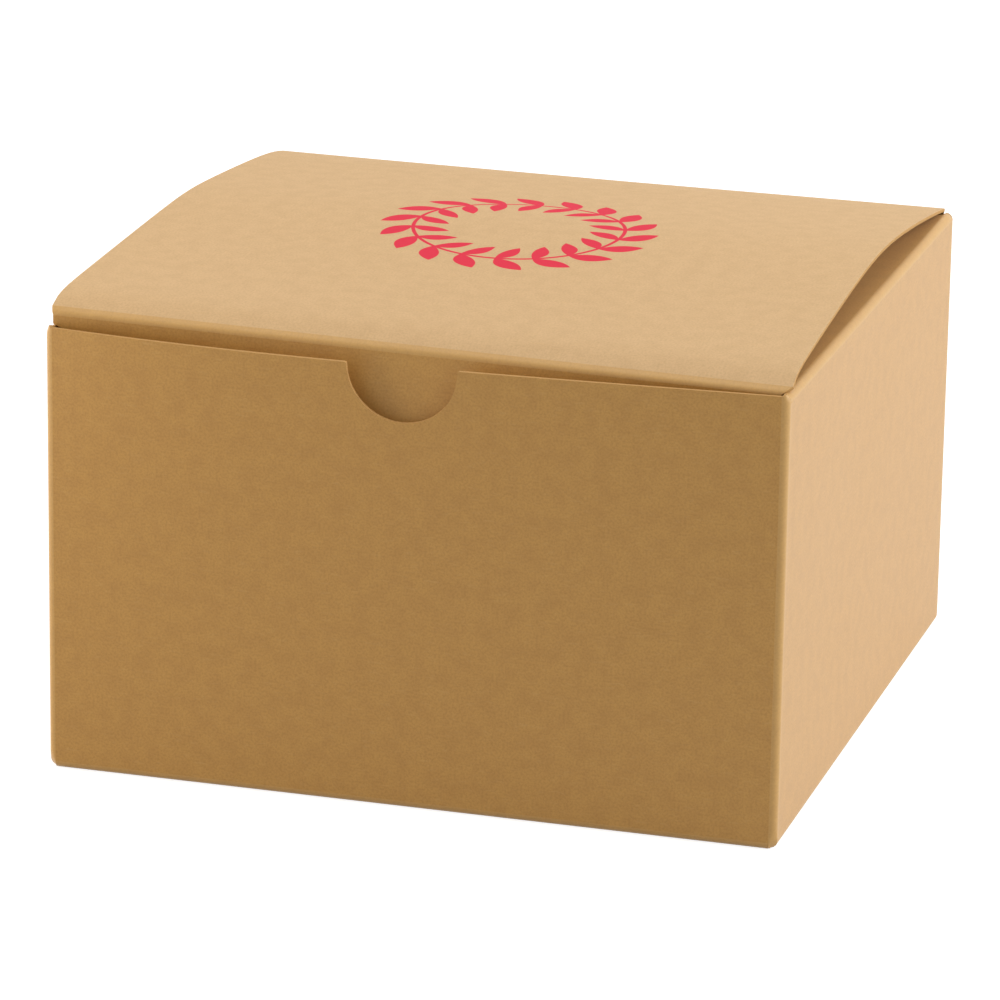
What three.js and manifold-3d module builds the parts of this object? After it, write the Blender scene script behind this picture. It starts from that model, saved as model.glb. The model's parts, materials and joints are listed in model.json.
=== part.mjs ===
// Kraft gift box: a one-piece folding carton with a hinged tuck-in lid and a self-locking bottom.
// Every panel, flap, fold and glue line of the sheet is a solid of its own.
// Millimetres, +Z up, front towards -Y. The origin is the middle of the base, on the surface it stands on.

import * as THREE from 'three';
import { mergeVertices } from 'three/addons/utils/BufferGeometryUtils.js';
import Module from 'manifold-3d';

const wasm = await Module();
wasm.setup();

// Board
const board = 0.6; // 24 point kraft board
const foldRadius = 1.3; // outside radius of a scored fold
const glueFilm = 0.1; // thickness of a glue line

// Walls
const insideWidth = 127; // 5 in, between the side panels
const insideDepth = 127; // 5 in, between the front and back panels
const wallHeight = 78.3; // from the surface it stands on to the top of the side folds
const frontBulge = 3.8; // how far the free top edge of the front panel bows outward
const frontBulgeLean = 0.35; // share by which the bow is fuller on the left than on the right
const frontBulgeRise = 1.5; // power by which the bow grows from the bottom fold to the top edge

// Thumb notch in the front panel
const notchRadius = 9.2;
const notchDepth = 9.8;
const notchCornerRadius = 1.2;

// Glued seam at the rear left corner
const seamWidth = 16; // width of the glued flap, from its fold
const seamTaper = 4; // how far each end of the flap slants over its width
const seamGlueEdge = 2; // bare board round the glue line

// Lid
const lidSideInset = 0.6; // how far each side of the lid stays inside the box's outside
const lidSeat = 0.2; // gap between the closed lid and the dust flaps at the rear and the right front
const lidLiftLeft = 2.1; // the same gap at the left front corner, where the lid stands up a little
const lidArch = 5.6; // rise of the lid's middle above the line between its two folds
const lidArchFullness = 0.75; // power of the arch, below 1 for full shoulders

// Tuck flap
const tuckLength = 16; // from the lid's outside to the free edge
const tuckSideInset = 3; // how far each side of the tuck flap stays inside the lid's side
const tuckSetback = 1.3; // gap to the front panel's inside where that panel isn't bowed
const tuckCornerRadius = 16;
const tuckBulge = 2.6; // how far the middle of the free edge leans out towards the bowed front
const tuckFoldEnd = 0.4; // gap between each end of the tuck fold and the side fold beside it

// Dust flaps
const dustLength = 44; // from the side fold to the free edge
const dustFrontEnd = 1.0; // gap between a dust flap and the tuck flap
const dustRearEnd = 2.6; // gap between a dust flap and the back panel's outside
const dustFrontTaper = 8; // slant of the front edge over the flap's length
const dustRearTaper = 28; // slant of the rear edge, which lets the lid swing clear
const dustCornerRadius = 7;

// Self-locking bottom: two sheets of flap and tab, each glued to a side flap
const lockOffset = 20; // how far left of the middle the two sheets change places
const lockLap = 6; // how far a sheet's tongue passes the middle
const lockGap = 0.5; // gap between the two sheets where they meet edge to edge
const hookLength = 14.5; // how far a hook reaches over the other sheet
const hookRamp = 3; // length over which the hook climbs one board
const hookFlapGap = 1.6; // gap from a hook to the side flap beside it
const frontHookGap = 1.5; // gap from the front hook to the place where the sheets change places
const rearHookGap = 25.5; // the same gap for the rear hook
const flapEndGap = 1; // gap between a flap's fold and the corner fold beside it
const flapTaper = 4; // slant of a bottom flap's free side
const tabSideGap = 1.5; // gap from a tab to the outside of the wall
const tabSlant = 14; // cut across the tab's free corner
const diagonalGap = 0.3; // width left for the diagonal crease between flap and tab
const sideFlapLength = 27; // length of a side flap inward from the outside of its wall
const sideFlapTaper = 12; // slant of each end of a side flap
const bottomGlueLength = 24;
const bottomGlueWidth = 16;
const bottomGlueInset = 6; // bare board between a glue patch and the wall's outside
const bottomGlueAhead = 12; // distance from the middle of the box to the glue patch

// Facets
const arcSteps = 6;
const acrossSteps = 32;
const alongSteps = 24;
const heightSteps = 10;
const mergeDistance = 1e-4;
const cutClearance = 5; // how far a cutting prism runs past what it cuts

// Worked out from the sizes above
const boxWidth = insideWidth + 2 * board;
const boxDepth = insideDepth + 2 * board;
const secondLayer = board + glueFilm; // height of the layer that lies on the bottom sheets
const lidWidth = boxWidth - 2 * lidSideInset;
const tuckWidth = lidWidth - 2 * tuckSideInset;
const lidTopRear = wallHeight + lidSeat + board;
const lidFoldRear = boxDepth / 2 - foldRadius; // where the lid leaves its rear fold
const tuckFace = -boxDepth / 2 + board + tuckSetback; // outside of the tuck flap at its fold
const lidFoldFront = tuckFace + foldRadius;
const seamFace = -boxWidth / 2 + board + glueFilm; // outside of the seam flap
const flapHalfWidth = boxWidth / 2 - foldRadius - flapEndGap;
const sideFlapHalfWidth = boxDepth / 2 - foldRadius - flapEndGap;
// How far a fold's pivot lies inside the outer faces on both its sides, so that the middle of the board
// keeps its length when the fold opens flat.
const hingeInset = foldRadius - (Math.PI / 4) * (foldRadius - board / 2);

const X = new THREE.Vector3(1, 0, 0);
const Y = new THREE.Vector3(0, 1, 0);
const Z = new THREE.Vector3(0, 0, 1);
const BACK_X = new THREE.Vector3(-1, 0, 0);
const DOWN = new THREE.Vector3(0, 0, -1);
const BACK_Y = new THREE.Vector3(0, -1, 0);

const KRAFT_OUTSIDE = 0xc89b62;
const KRAFT_SHADED = 0xb98a50;
const DRIED_GLUE = 0xe9e1cf;

function kraft(color = KRAFT_OUTSIDE) {
  return new THREE.MeshStandardMaterial({ color, roughness: 0.85, metalness: 0 });
}

function glue() {
  return new THREE.MeshStandardMaterial({ color: DRIED_GLUE, roughness: 0.5, metalness: 0 });
}

function piece(name, geometry, material = kraft()) {
  const mesh = new THREE.Mesh(geometry, material);
  mesh.name = name;
  return mesh;
}

// A group that turns about a pivot, holding meshes that are drawn in the box's own frame.
function hinged(pivot, ...meshes) {
  const group = new THREE.Group();
  group.position.copy(pivot);
  for (const mesh of meshes) {
    mesh.position.sub(pivot);
    group.add(mesh);
  }
  return group;
}

// An outline drawn on two axes, made thick from one level to another on the third.
function prism(outline, across, along, low, high) {
  const normal = across.clone().cross(along);
  const settings = { depth: high - low, bevelEnabled: false, curveSegments: arcSteps };
  const geometry = new THREE.ExtrudeGeometry(outline, settings);
  const pointsUp = normal.x + normal.y + normal.z > 0;
  geometry.translate(0, 0, pointsUp ? low : -high);
  return geometry.applyMatrix4(new THREE.Matrix4().makeBasis(across, along, normal));
}

function polygon(points) {
  return new THREE.Shape(points.map(([x, y]) => new THREE.Vector2(x, y)));
}

// A polygon whose corners are rounded where a radius is given as the third number.
function roundedPolygon(corners) {
  const outline = new THREE.Shape();
  corners.forEach(([x, y, radius = 0], index) => {
    const before = corners.at(index - 1);
    const after = corners[(index + 1) % corners.length];
    const corner = new THREE.Vector2(x, y);
    const inward = new THREE.Vector2(before[0] - x, before[1] - y).normalize();
    const onward = new THREE.Vector2(after[0] - x, after[1] - y).normalize();
    const halfAngle = Math.acos(THREE.MathUtils.clamp(inward.dot(onward), -1, 1)) / 2;
    const trim = radius / Math.tan(halfAngle);
    const start = corner.clone().addScaledVector(inward, trim);
    const end = corner.clone().addScaledVector(onward, trim);
    if (index === 0) {
      outline.moveTo(start.x, start.y);
    } else {
      outline.lineTo(start.x, start.y);
    }
    if (radius > 0) {
      outline.quadraticCurveTo(x, y, end.x, end.y);
    }
  });
  outline.closePath();
  return outline;
}

// A quarter fold seen end on, with the board running on to `reach`. The first axis runs inward from
// the outside of the panel, the second from the outside of the flap.
function foldOutline(reach = foldRadius) {
  const outline = new THREE.Shape();
  outline.moveTo(0, foldRadius);
  outline.absarc(foldRadius, foldRadius, foldRadius, Math.PI, 1.5 * Math.PI, false);
  if (reach > foldRadius) {
    outline.lineTo(reach, 0);
    outline.lineTo(reach, board);
  }
  outline.absarc(foldRadius, foldRadius, foldRadius - board, 1.5 * Math.PI, Math.PI, true);
  outline.closePath();
  return outline;
}

// Moves every vertex of a sheet that has been divided finely enough to bend.
function bend(geometry, move) {
  const positions = geometry.attributes.position;
  const point = new THREE.Vector3();
  for (let i = 0; i < positions.count; i += 1) {
    point.fromBufferAttribute(positions, i);
    move(point);
    positions.setXYZ(i, point.x, point.y, point.z);
  }
  geometry.computeVertexNormals();
  return geometry;
}

function solidOf(geometry) {
  const bare = geometry.clone();
  bare.deleteAttribute('normal');
  bare.deleteAttribute('uv');
  const merged = mergeVertices(bare, mergeDistance);
  const corners = merged.index.array;
  const triVerts = [];
  for (let i = 0; i < corners.length; i += 3) {
    const [a, b, c] = corners.slice(i, i + 3);
    if (a !== b && b !== c && c !== a) {
      triVerts.push(a, b, c);
    }
  }
  const vertProperties = merged.attributes.position.array;
  const mesh = new wasm.Mesh({ numProp: 3, vertProperties, triVerts: Uint32Array.from(triVerts) });
  return new wasm.Manifold(mesh);
}

function geometryOf(solid) {
  const { vertProperties, triVerts } = solid.getMesh();
  const geometry = new THREE.BufferGeometry();
  geometry.setAttribute('position', new THREE.BufferAttribute(vertProperties, 3));
  geometry.setIndex(new THREE.BufferAttribute(triVerts, 1));
  geometry.computeVertexNormals();
  return geometry;
}

// Walls

// The front panel's outward bow: none at the corner folds and the bottom, most at the free top edge.
function bowAt(x, z) {
  const share = x / (boxWidth / 2 - foldRadius);
  const height = Math.max(0, (z - foldRadius) / (wallHeight - foldRadius));
  return frontBulge * (1 - share ** 2) * (1 - frontBulgeLean * share) * height ** frontBulgeRise;
}

function notchOutline() {
  const top = wallHeight;
  const outline = new THREE.Shape();
  outline.moveTo(-notchRadius - notchCornerRadius, top + cutClearance);
  outline.lineTo(-notchRadius - notchCornerRadius, top);
  outline.quadraticCurveTo(-notchRadius, top, -notchRadius, top - notchCornerRadius);
  outline.lineTo(-notchRadius, top - notchDepth + notchRadius);
  outline.absarc(0, top - notchDepth + notchRadius, notchRadius, Math.PI, 2 * Math.PI, false);
  outline.lineTo(notchRadius, top - notchCornerRadius);
  outline.quadraticCurveTo(notchRadius, top, notchRadius + notchCornerRadius, top);
  outline.lineTo(notchRadius + notchCornerRadius, top + cutClearance);
  outline.closePath();
  return outline;
}

function frontPanel() {
  const width = boxWidth - 2 * foldRadius;
  const height = wallHeight - foldRadius;
  const sheet = new THREE.BoxGeometry(width, board, height, acrossSteps, 1, heightSteps);
  sheet.translate(0, (board - boxDepth) / 2, foldRadius + height / 2);
  bend(sheet, (point) => {
    point.y -= bowAt(point.x, point.z);
  });
  const outside = boxDepth / 2 + frontBulge;
  const notch = prism(notchOutline(), X, Z, -outside - cutClearance, -boxDepth / 2 + cutClearance);
  return piece('front_panel', geometryOf(solidOf(sheet).subtract(solidOf(notch))));
}

function backPanel() {
  const left = seamFace + foldRadius;
  const right = boxWidth / 2 - foldRadius;
  const low = foldRadius;
  const high = lidTopRear - foldRadius;
  const mesh = piece('back_panel', new THREE.BoxGeometry(right - left, board, high - low));
  mesh.position.set((left + right) / 2, (boxDepth - board) / 2, (low + high) / 2);
  return mesh;
}

// A side panel with the corner folds at its ends, drawn for the left of the box from its outside.
function sidePanel(name, rearFold) {
  const rear = boxDepth;
  const inner = foldRadius - board;
  const outline = new THREE.Shape();
  outline.moveTo(foldRadius, board);
  outline.lineTo(foldRadius, 0);
  outline.absarc(foldRadius, foldRadius, foldRadius, 1.5 * Math.PI, Math.PI, true);
  if (rearFold) {
    outline.absarc(foldRadius, rear - foldRadius, foldRadius, Math.PI, Math.PI / 2, true);
    outline.absarc(foldRadius, rear - foldRadius, inner, Math.PI / 2, Math.PI, false);
  } else {
    outline.lineTo(0, rear);
    outline.lineTo(board, rear);
  }
  outline.absarc(foldRadius, foldRadius, inner, Math.PI, 1.5 * Math.PI, false);
  outline.closePath();
  const low = secondLayer + foldRadius;
  const mesh = piece(name, prism(outline, X, Y, low, wallHeight - foldRadius), kraft());
  mesh.position.set(-boxWidth / 2, -boxDepth / 2, 0);
  return mesh;
}

// The glued flap inside the left panel, with the corner fold that joins it to the back panel.
function seamFlap() {
  const reach = foldRadius + seamWidth;
  const low = secondLayer + foldRadius;
  const high = wallHeight - foldRadius;
  const folded = prism(foldOutline(reach), BACK_Y, X, low, high);
  const inFrom = foldRadius + board;
  const outline = polygon([
    [-cutClearance, low],
    [inFrom, low],
    [reach, low + seamTaper],
    [reach, high - seamTaper],
    [inFrom, high],
    [-cutClearance, high],
  ]);
  const shape = prism(outline, BACK_Y, Z, -cutClearance, cutClearance);
  const mesh = piece('seam_flap', geometryOf(solidOf(folded).intersect(solidOf(shape))), kraft(KRAFT_SHADED));
  mesh.position.set(seamFace, boxDepth / 2, 0);
  return mesh;
}

function seamGlue() {
  const rear = boxDepth / 2 - foldRadius - seamGlueEdge;
  const front = boxDepth / 2 - foldRadius - seamWidth + seamGlueEdge;
  const low = secondLayer + foldRadius + seamTaper + seamGlueEdge;
  const high = wallHeight - foldRadius - seamTaper - seamGlueEdge;
  const mesh = piece('seam_glue', new THREE.BoxGeometry(glueFilm, rear - front, high - low), glue());
  mesh.position.set(seamFace - glueFilm / 2, (front + rear) / 2, (low + high) / 2);
  return mesh;
}

// Bottom

// One bottom sheet for the front edge: a flap and a tab that meet on the diagonal from the corner.
// `lockAt` is where the sheet's tongue starts. The hook stands to the left of it, up to the side flap.
function bottomSheet(flapName, tabName, lockAt, hookGap) {
  const hookLeft = -boxWidth / 2 + sideFlapLength + hookFlapGap;
  const hookRight = lockAt - hookGap;
  const front = -boxDepth / 2;
  const edge = -lockLap - lockGap;
  const tongueStart = lockAt + lockGap / 2;
  const tabSide = boxWidth / 2 - tabSideGap;
  const tabFront = front + foldRadius + tabSideGap;
  const plan = polygon([
    [-flapHalfWidth, front - cutClearance],
    [flapHalfWidth, front - cutClearance],
    [flapHalfWidth, tabFront],
    [tabSide, tabFront],
    [tabSide, lockLap - tabSlant],
    [tabSide - tabSlant, lockLap],
    [tongueStart, lockLap],
    [tongueStart, edge],
    [-flapHalfWidth + flapTaper, edge],
    [-flapHalfWidth, front + foldRadius],
  ]);
  const folded = prism(foldOutline(boxDepth), Y, Z, -boxWidth / 2, boxWidth / 2);
  folded.translate(0, front, 0);
  const sheet = solidOf(folded).intersect(solidOf(prism(plan, X, Y, -cutClearance, cutClearance)));

  const far = boxWidth + boxDepth;
  const corner = (boxWidth - boxDepth) / 2;
  const flapEnd = far + corner - diagonalGap * Math.SQRT1_2;
  const tabEnd = corner - far + diagonalGap * Math.SQRT1_2;
  const flapHalf = prism(polygon([[-far, -far], [flapEnd, -far], [-far, flapEnd]]), X, Y, -far, far);
  const tabHalf = prism(polygon([[far, far], [tabEnd, far], [far, tabEnd]]), X, Y, -far, far);
  const flap = sheet.intersect(solidOf(flapHalf)).add(solidOf(hook(edge, hookLeft, hookRight)));
  const tab = sheet.intersect(solidOf(tabHalf));
  return [piece(flapName, geometryOf(flap)), piece(tabName, geometryOf(tab))];
}

// The hook climbs from the first layer to the second, and then lies on the other sheet.
function hook(edge, left, right) {
  const start = edge - hookRamp;
  const rest = edge + hookLength;
  const outline = polygon([
    [start - board, 0],
    [start, 0],
    [edge - lockGap, secondLayer],
    [rest, secondLayer],
    [rest, secondLayer + board],
    [edge - lockGap, secondLayer + board],
    [start, board],
    [start - board, board],
  ]);
  return prism(outline, Y, Z, left, right);
}

// A side flap of the bottom, one layer up, drawn for the right of the box.
function sideFlap(name) {
  const half = sideFlapHalfWidth;
  const folded = prism(foldOutline(sideFlapLength), BACK_X, Z, -half, half);
  const plan = polygon([
    [-cutClearance, -half],
    [foldRadius, -half],
    [sideFlapLength, -half + sideFlapTaper],
    [sideFlapLength, half - sideFlapTaper],
    [foldRadius, half],
    [-cutClearance, half],
  ]);
  const shape = prism(plan, BACK_X, Y, -cutClearance, cutClearance);
  const mesh = piece(name, geometryOf(solidOf(folded).intersect(solidOf(shape))), kraft(KRAFT_SHADED));
  mesh.position.set(boxWidth / 2, 0, secondLayer);
  return mesh;
}

function bottomGlue(name) {
  const mesh = piece(name, new THREE.BoxGeometry(bottomGlueWidth, bottomGlueLength, glueFilm), glue());
  const across = boxWidth / 2 - bottomGlueInset - bottomGlueWidth / 2;
  mesh.position.set(across, -bottomGlueAhead - bottomGlueLength / 2, board + glueFilm / 2);
  return mesh;
}

// The bottom is two such halves, the second turned half round.
function bottom() {
  const front = new THREE.Group();
  front.add(
    ...bottomSheet('bottom_front_flap', 'bottom_front_tab', -lockOffset, frontHookGap),
    sideFlap('bottom_right_flap'),
    bottomGlue('bottom_right_glue'),
  );
  const rear = new THREE.Group();
  rear.rotation.z = Math.PI;
  rear.add(
    ...bottomSheet('bottom_back_flap', 'bottom_back_tab', lockOffset, rearHookGap),
    sideFlap('bottom_left_flap'),
    bottomGlue('bottom_left_glue'),
  );
  return [front, rear];
}

// Lid

// Outside of the closed lid at its front fold. It stands up a little at the left.
function frontFoldTop(x) {
  const share = 0.5 + x / lidWidth;
  return wallHeight + board + THREE.MathUtils.lerp(lidLiftLeft, lidSeat, share);
}

function lidHeightAt(x, y) {
  const share = THREE.MathUtils.clamp((lidFoldRear - y) / (lidFoldRear - lidFoldFront), 0, 1);
  const chord = THREE.MathUtils.lerp(lidTopRear, frontFoldTop(x), share);
  return chord + lidArch * (4 * share * (1 - share)) ** lidArchFullness;
}

function lidPanel() {
  const length = lidFoldRear - lidFoldFront;
  const sheet = new THREE.BoxGeometry(lidWidth, length, board, acrossSteps / 4, alongSteps, 1);
  sheet.translate(0, (lidFoldRear + lidFoldFront) / 2, -board / 2);
  bend(sheet, (point) => {
    point.z += lidHeightAt(point.x, point.y);
  });
  return piece('lid_panel', sheet);
}

function lidCrease() {
  const mesh = piece('lid_crease', prism(foldOutline(), BACK_Y, DOWN, -lidWidth / 2, lidWidth / 2));
  mesh.position.set(0, boxDepth / 2, lidTopRear);
  return mesh;
}

function tuckCrease() {
  const half = boxWidth / 2 - foldRadius - tuckFoldEnd;
  const strip = prism(foldOutline(), Y, DOWN, -half, half);
  strip.translate(0, tuckFace, 0);
  bend(strip, (point) => {
    point.z += frontFoldTop(point.x);
  });
  return piece('tuck_crease', strip);
}

// The flap hangs from the slanting front fold, and its middle leans out towards the bowed front panel.
function tuckFlap() {
  const height = tuckLength - foldRadius;
  const sheet = new THREE.BoxGeometry(lidWidth, board, height, acrossSteps, 1, heightSteps / 2);
  sheet.translate(0, tuckFace + board / 2, -foldRadius - height / 2);
  bend(sheet, (point) => {
    const share = THREE.MathUtils.clamp(2 * point.x / tuckWidth, -1, 1);
    const drop = (-point.z - foldRadius) / height;
    point.y -= tuckBulge * (1 - share ** 2) ** 2 * drop;
    point.z += frontFoldTop(point.x);
  });
  const half = tuckWidth / 2;
  const top = frontFoldTop(-half) + cutClearance;
  const outline = roundedPolygon([
    [-half, top],
    [-half, frontFoldTop(-half) - tuckLength, tuckCornerRadius],
    [half, frontFoldTop(half) - tuckLength, tuckCornerRadius],
    [half, top],
  ]);
  const shape = prism(outline, X, Z, tuckFace - cutClearance, tuckFace + cutClearance);
  return piece('tuck_flap', geometryOf(solidOf(sheet).intersect(solidOf(shape))), kraft(KRAFT_SHADED));
}

// Dust flaps

function dustFlap(name, inward, side) {
  const front = tuckFace + board + dustFrontEnd;
  const rear = boxDepth / 2 - dustRearEnd;
  const reach = foldRadius + dustLength;
  const outline = roundedPolygon([
    [foldRadius, front],
    [foldRadius, rear],
    [reach, rear - dustRearTaper, dustCornerRadius],
    [reach, front + dustFrontTaper, dustCornerRadius],
  ]);
  const mesh = piece(name, prism(outline, inward, Y, wallHeight - board, wallHeight), kraft(KRAFT_SHADED));
  mesh.position.x = side * boxWidth / 2;
  return mesh;
}

function dustCrease(name, inward, side) {
  const half = boxDepth / 2 - foldRadius - glueFilm;
  const mesh = piece(name, prism(foldOutline(), inward, DOWN, -half, half));
  mesh.position.set(side * boxWidth / 2, 0, wallHeight);
  return mesh;
}

// Assembly

const rightPanel = new THREE.Group();
rightPanel.rotation.z = Math.PI;
rightPanel.add(sidePanel('right_panel', true));

const carton = new THREE.Group();
carton.add(
  frontPanel(),
  backPanel(),
  sidePanel('left_panel', false),
  rightPanel,
  seamFlap(),
  seamGlue(),
  ...bottom(),
  lidCrease(),
  dustCrease('left_dust_crease', X, -1),
  dustCrease('right_dust_crease', BACK_X, 1),
);

const dustPivotX = boxWidth / 2 - hingeInset;
const dustPivotZ = wallHeight - hingeInset;
const leftDustPivot = new THREE.Vector3(-dustPivotX, 0, dustPivotZ);
const rightDustPivot = new THREE.Vector3(dustPivotX, 0, dustPivotZ);
const leftDust = hinged(leftDustPivot, dustFlap('left_dust_flap', X, -1));
const rightDust = hinged(rightDustPivot, dustFlap('right_dust_flap', BACK_X, 1));

const lidPivot = new THREE.Vector3(0, boxDepth / 2 - hingeInset, lidTopRear - hingeInset);
const tuckPivot = new THREE.Vector3(0, tuckFace + hingeInset, frontFoldTop(0) - hingeInset);
const tuck = hinged(tuckPivot, tuckFlap());
tuck.position.sub(lidPivot);
const lid = hinged(lidPivot, lidPanel(), tuckCrease());
lid.add(tuck);

const giftBox = new THREE.Group();
giftBox.add(carton, leftDust, rightDust, lid);

export default giftBox;
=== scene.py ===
"""Looks of a square gift box that is folded from one sheet of brown kraft board.

Every piece is cut flat from that sheet, diced where it bends, given the board's thickness and folded into
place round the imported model, so that the board's pattern runs on from piece to piece. Sizes are in
millimetres where nothing else is said, and a finished piece is in metres. The front faces -Y.
"""

import json
import logging
import math
from collections.abc import Callable
from dataclasses import dataclass, field
from enum import Enum
from typing import Any

import bmesh
import bpy
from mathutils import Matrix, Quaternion, Vector


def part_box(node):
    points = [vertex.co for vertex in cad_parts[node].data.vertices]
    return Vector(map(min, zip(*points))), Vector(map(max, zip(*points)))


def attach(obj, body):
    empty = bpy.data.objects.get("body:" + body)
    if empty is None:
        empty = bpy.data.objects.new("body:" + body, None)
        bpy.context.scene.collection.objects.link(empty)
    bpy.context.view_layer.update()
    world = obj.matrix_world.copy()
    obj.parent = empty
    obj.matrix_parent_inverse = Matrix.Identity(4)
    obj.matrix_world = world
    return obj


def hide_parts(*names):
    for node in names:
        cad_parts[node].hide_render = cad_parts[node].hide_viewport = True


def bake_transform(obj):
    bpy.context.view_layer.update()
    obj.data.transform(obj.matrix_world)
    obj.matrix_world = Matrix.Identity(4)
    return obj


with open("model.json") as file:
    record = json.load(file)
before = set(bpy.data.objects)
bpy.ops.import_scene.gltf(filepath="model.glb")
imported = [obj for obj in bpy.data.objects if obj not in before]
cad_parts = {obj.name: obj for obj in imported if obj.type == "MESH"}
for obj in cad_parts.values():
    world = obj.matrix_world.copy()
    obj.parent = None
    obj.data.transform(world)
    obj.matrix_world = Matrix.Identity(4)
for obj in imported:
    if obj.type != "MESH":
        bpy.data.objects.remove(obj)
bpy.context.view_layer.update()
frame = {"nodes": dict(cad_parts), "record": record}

BLANK_UV = "Blank"
CREASE = "Crease"

# A millimetre in metres
MM = 0.001
# Millimetres within which two points of the flat sheet are one
SAME_SPOT = 1e-5
# Millimetres within which a point of the flat sheet is on a line
ON_LINE = 1e-3
# Decimals of the places where the sheet is diced, in millimetres
PLACE_DIGITS = 4
# A face of the flat sheet lies level where its normal rises by more than this
LEVEL_RISE = 0.9
# A face of the flat sheet is a cut where its normal rises by less than this
CUT_RISE = 0.5

log = logging.getLogger("gift_box")

# Gives the place of the sheet's outside for s and t
Place = Callable[[float, float], Vector]
# For each fold's node, the body that it bends towards and where the bend starts and ends
Bends = dict[str, tuple[str, Vector, Vector]]


def node_box(node: str) -> tuple[Vector, Vector]:
    """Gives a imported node's lowest and highest corners in millimetres."""
    low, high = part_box(node)
    return low / MM, high / MM


def lerp(start: float, end: float, share: float) -> float:
    """Gives the value at a share of the way from start to end."""
    return start + (end - start) * share


def smooth(share: float) -> float:
    """Eases a share from 0 to 1, level at both ends."""
    held = min(1.0, max(0.0, share))
    return held * held * (3 - 2 * held)


def hump(share: float) -> float:
    """Rises from 0 at a share of 0 to 1 in the middle and falls back to 0 at a share of 1."""
    return max(0.0, 4 * share * (1 - share))


def direction(azimuth: float, elevation: float) -> Vector:
    """Gives the direction from the box to a point round it.

    Args:
        azimuth: degrees from the front, anticlockwise seen from above.
        elevation: degrees above the floor.

    Returns:
        A vector with a length of 1.
    """
    turn, tilt = math.radians(azimuth), math.radians(elevation)
    return Vector((math.sin(turn) * math.cos(tilt), -math.cos(turn) * math.cos(tilt), math.sin(tilt)))


def linear(code: str) -> tuple[float, float, float, float]:
    """Turns an sRGB hex colour into a linear one.

    Args:
        code: six hex digits after a hash.

    Returns:
        Red, green, blue and an alpha of 1.
    """
    shares = [int(code[i : i + 2], 16) / 255 for i in (1, 3, 5)]
    red, green, blue = [c / 12.92 if c <= 0.04045 else ((c + 0.055) / 1.055) ** 2.4 for c in shares]
    return red, green, blue, 1.0


def add_node(
    tree: bpy.types.NodeTree,
    kind: str,
    settings: dict[str, Any] | None = None,
    inputs: dict[str | int, Any] | None = None,
) -> bpy.types.Node:
    """Adds a node to a tree, sets it up and feeds its sockets.

    Args:
        tree: the tree that takes the node.
        kind: Blender's type name of the node.
        settings: the node's properties by name.
        inputs: for a socket's name or number, its value or the socket that it is linked from.

    Returns:
        The new node.
    """
    node = tree.nodes.new(kind)
    for name, value in (settings or {}).items():
        setattr(node, name, value)
    for key, value in (inputs or {}).items():
        if isinstance(value, bpy.types.NodeSocket):
            tree.links.new(value, node.inputs[key])
        else:
            node.inputs[key].default_value = value
    return node


def bare_material(name: str) -> tuple[bpy.types.Material, bpy.types.NodeTree]:
    """Makes a material with an empty tree.

    Args:
        name: the material's name.

    Returns:
        The material and its node tree.
    """
    material = bpy.data.materials.new(name)
    material.use_nodes = True
    material.node_tree.nodes.clear()
    return material, material.node_tree


def background_rays(tree: bpy.types.NodeTree) -> bpy.types.NodeSocket:
    """Tells the rays that show the background from those that light the box.

    Args:
        tree: the tree that takes the nodes.

    Returns:
        1 for the camera's rays and for those that are reflected or pass through, else 0.
    """
    path = add_node(tree, "ShaderNodeLightPath").outputs
    straight = add_node(
        tree, "ShaderNodeMath", {"operation": "MAXIMUM"}, {0: path["Is Camera Ray"], 1: path["Is Glossy Ray"]}
    ).outputs[0]
    return add_node(
        tree, "ShaderNodeMath", {"operation": "MAXIMUM"}, {0: straight, 1: path["Is Transmission Ray"]}
    ).outputs[0]


@dataclass(frozen=True)
class Showing:
    """How a pattern shows: not at all up to its start, and as much as its most from its end on."""

    start: float
    end: float
    most: float


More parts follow.
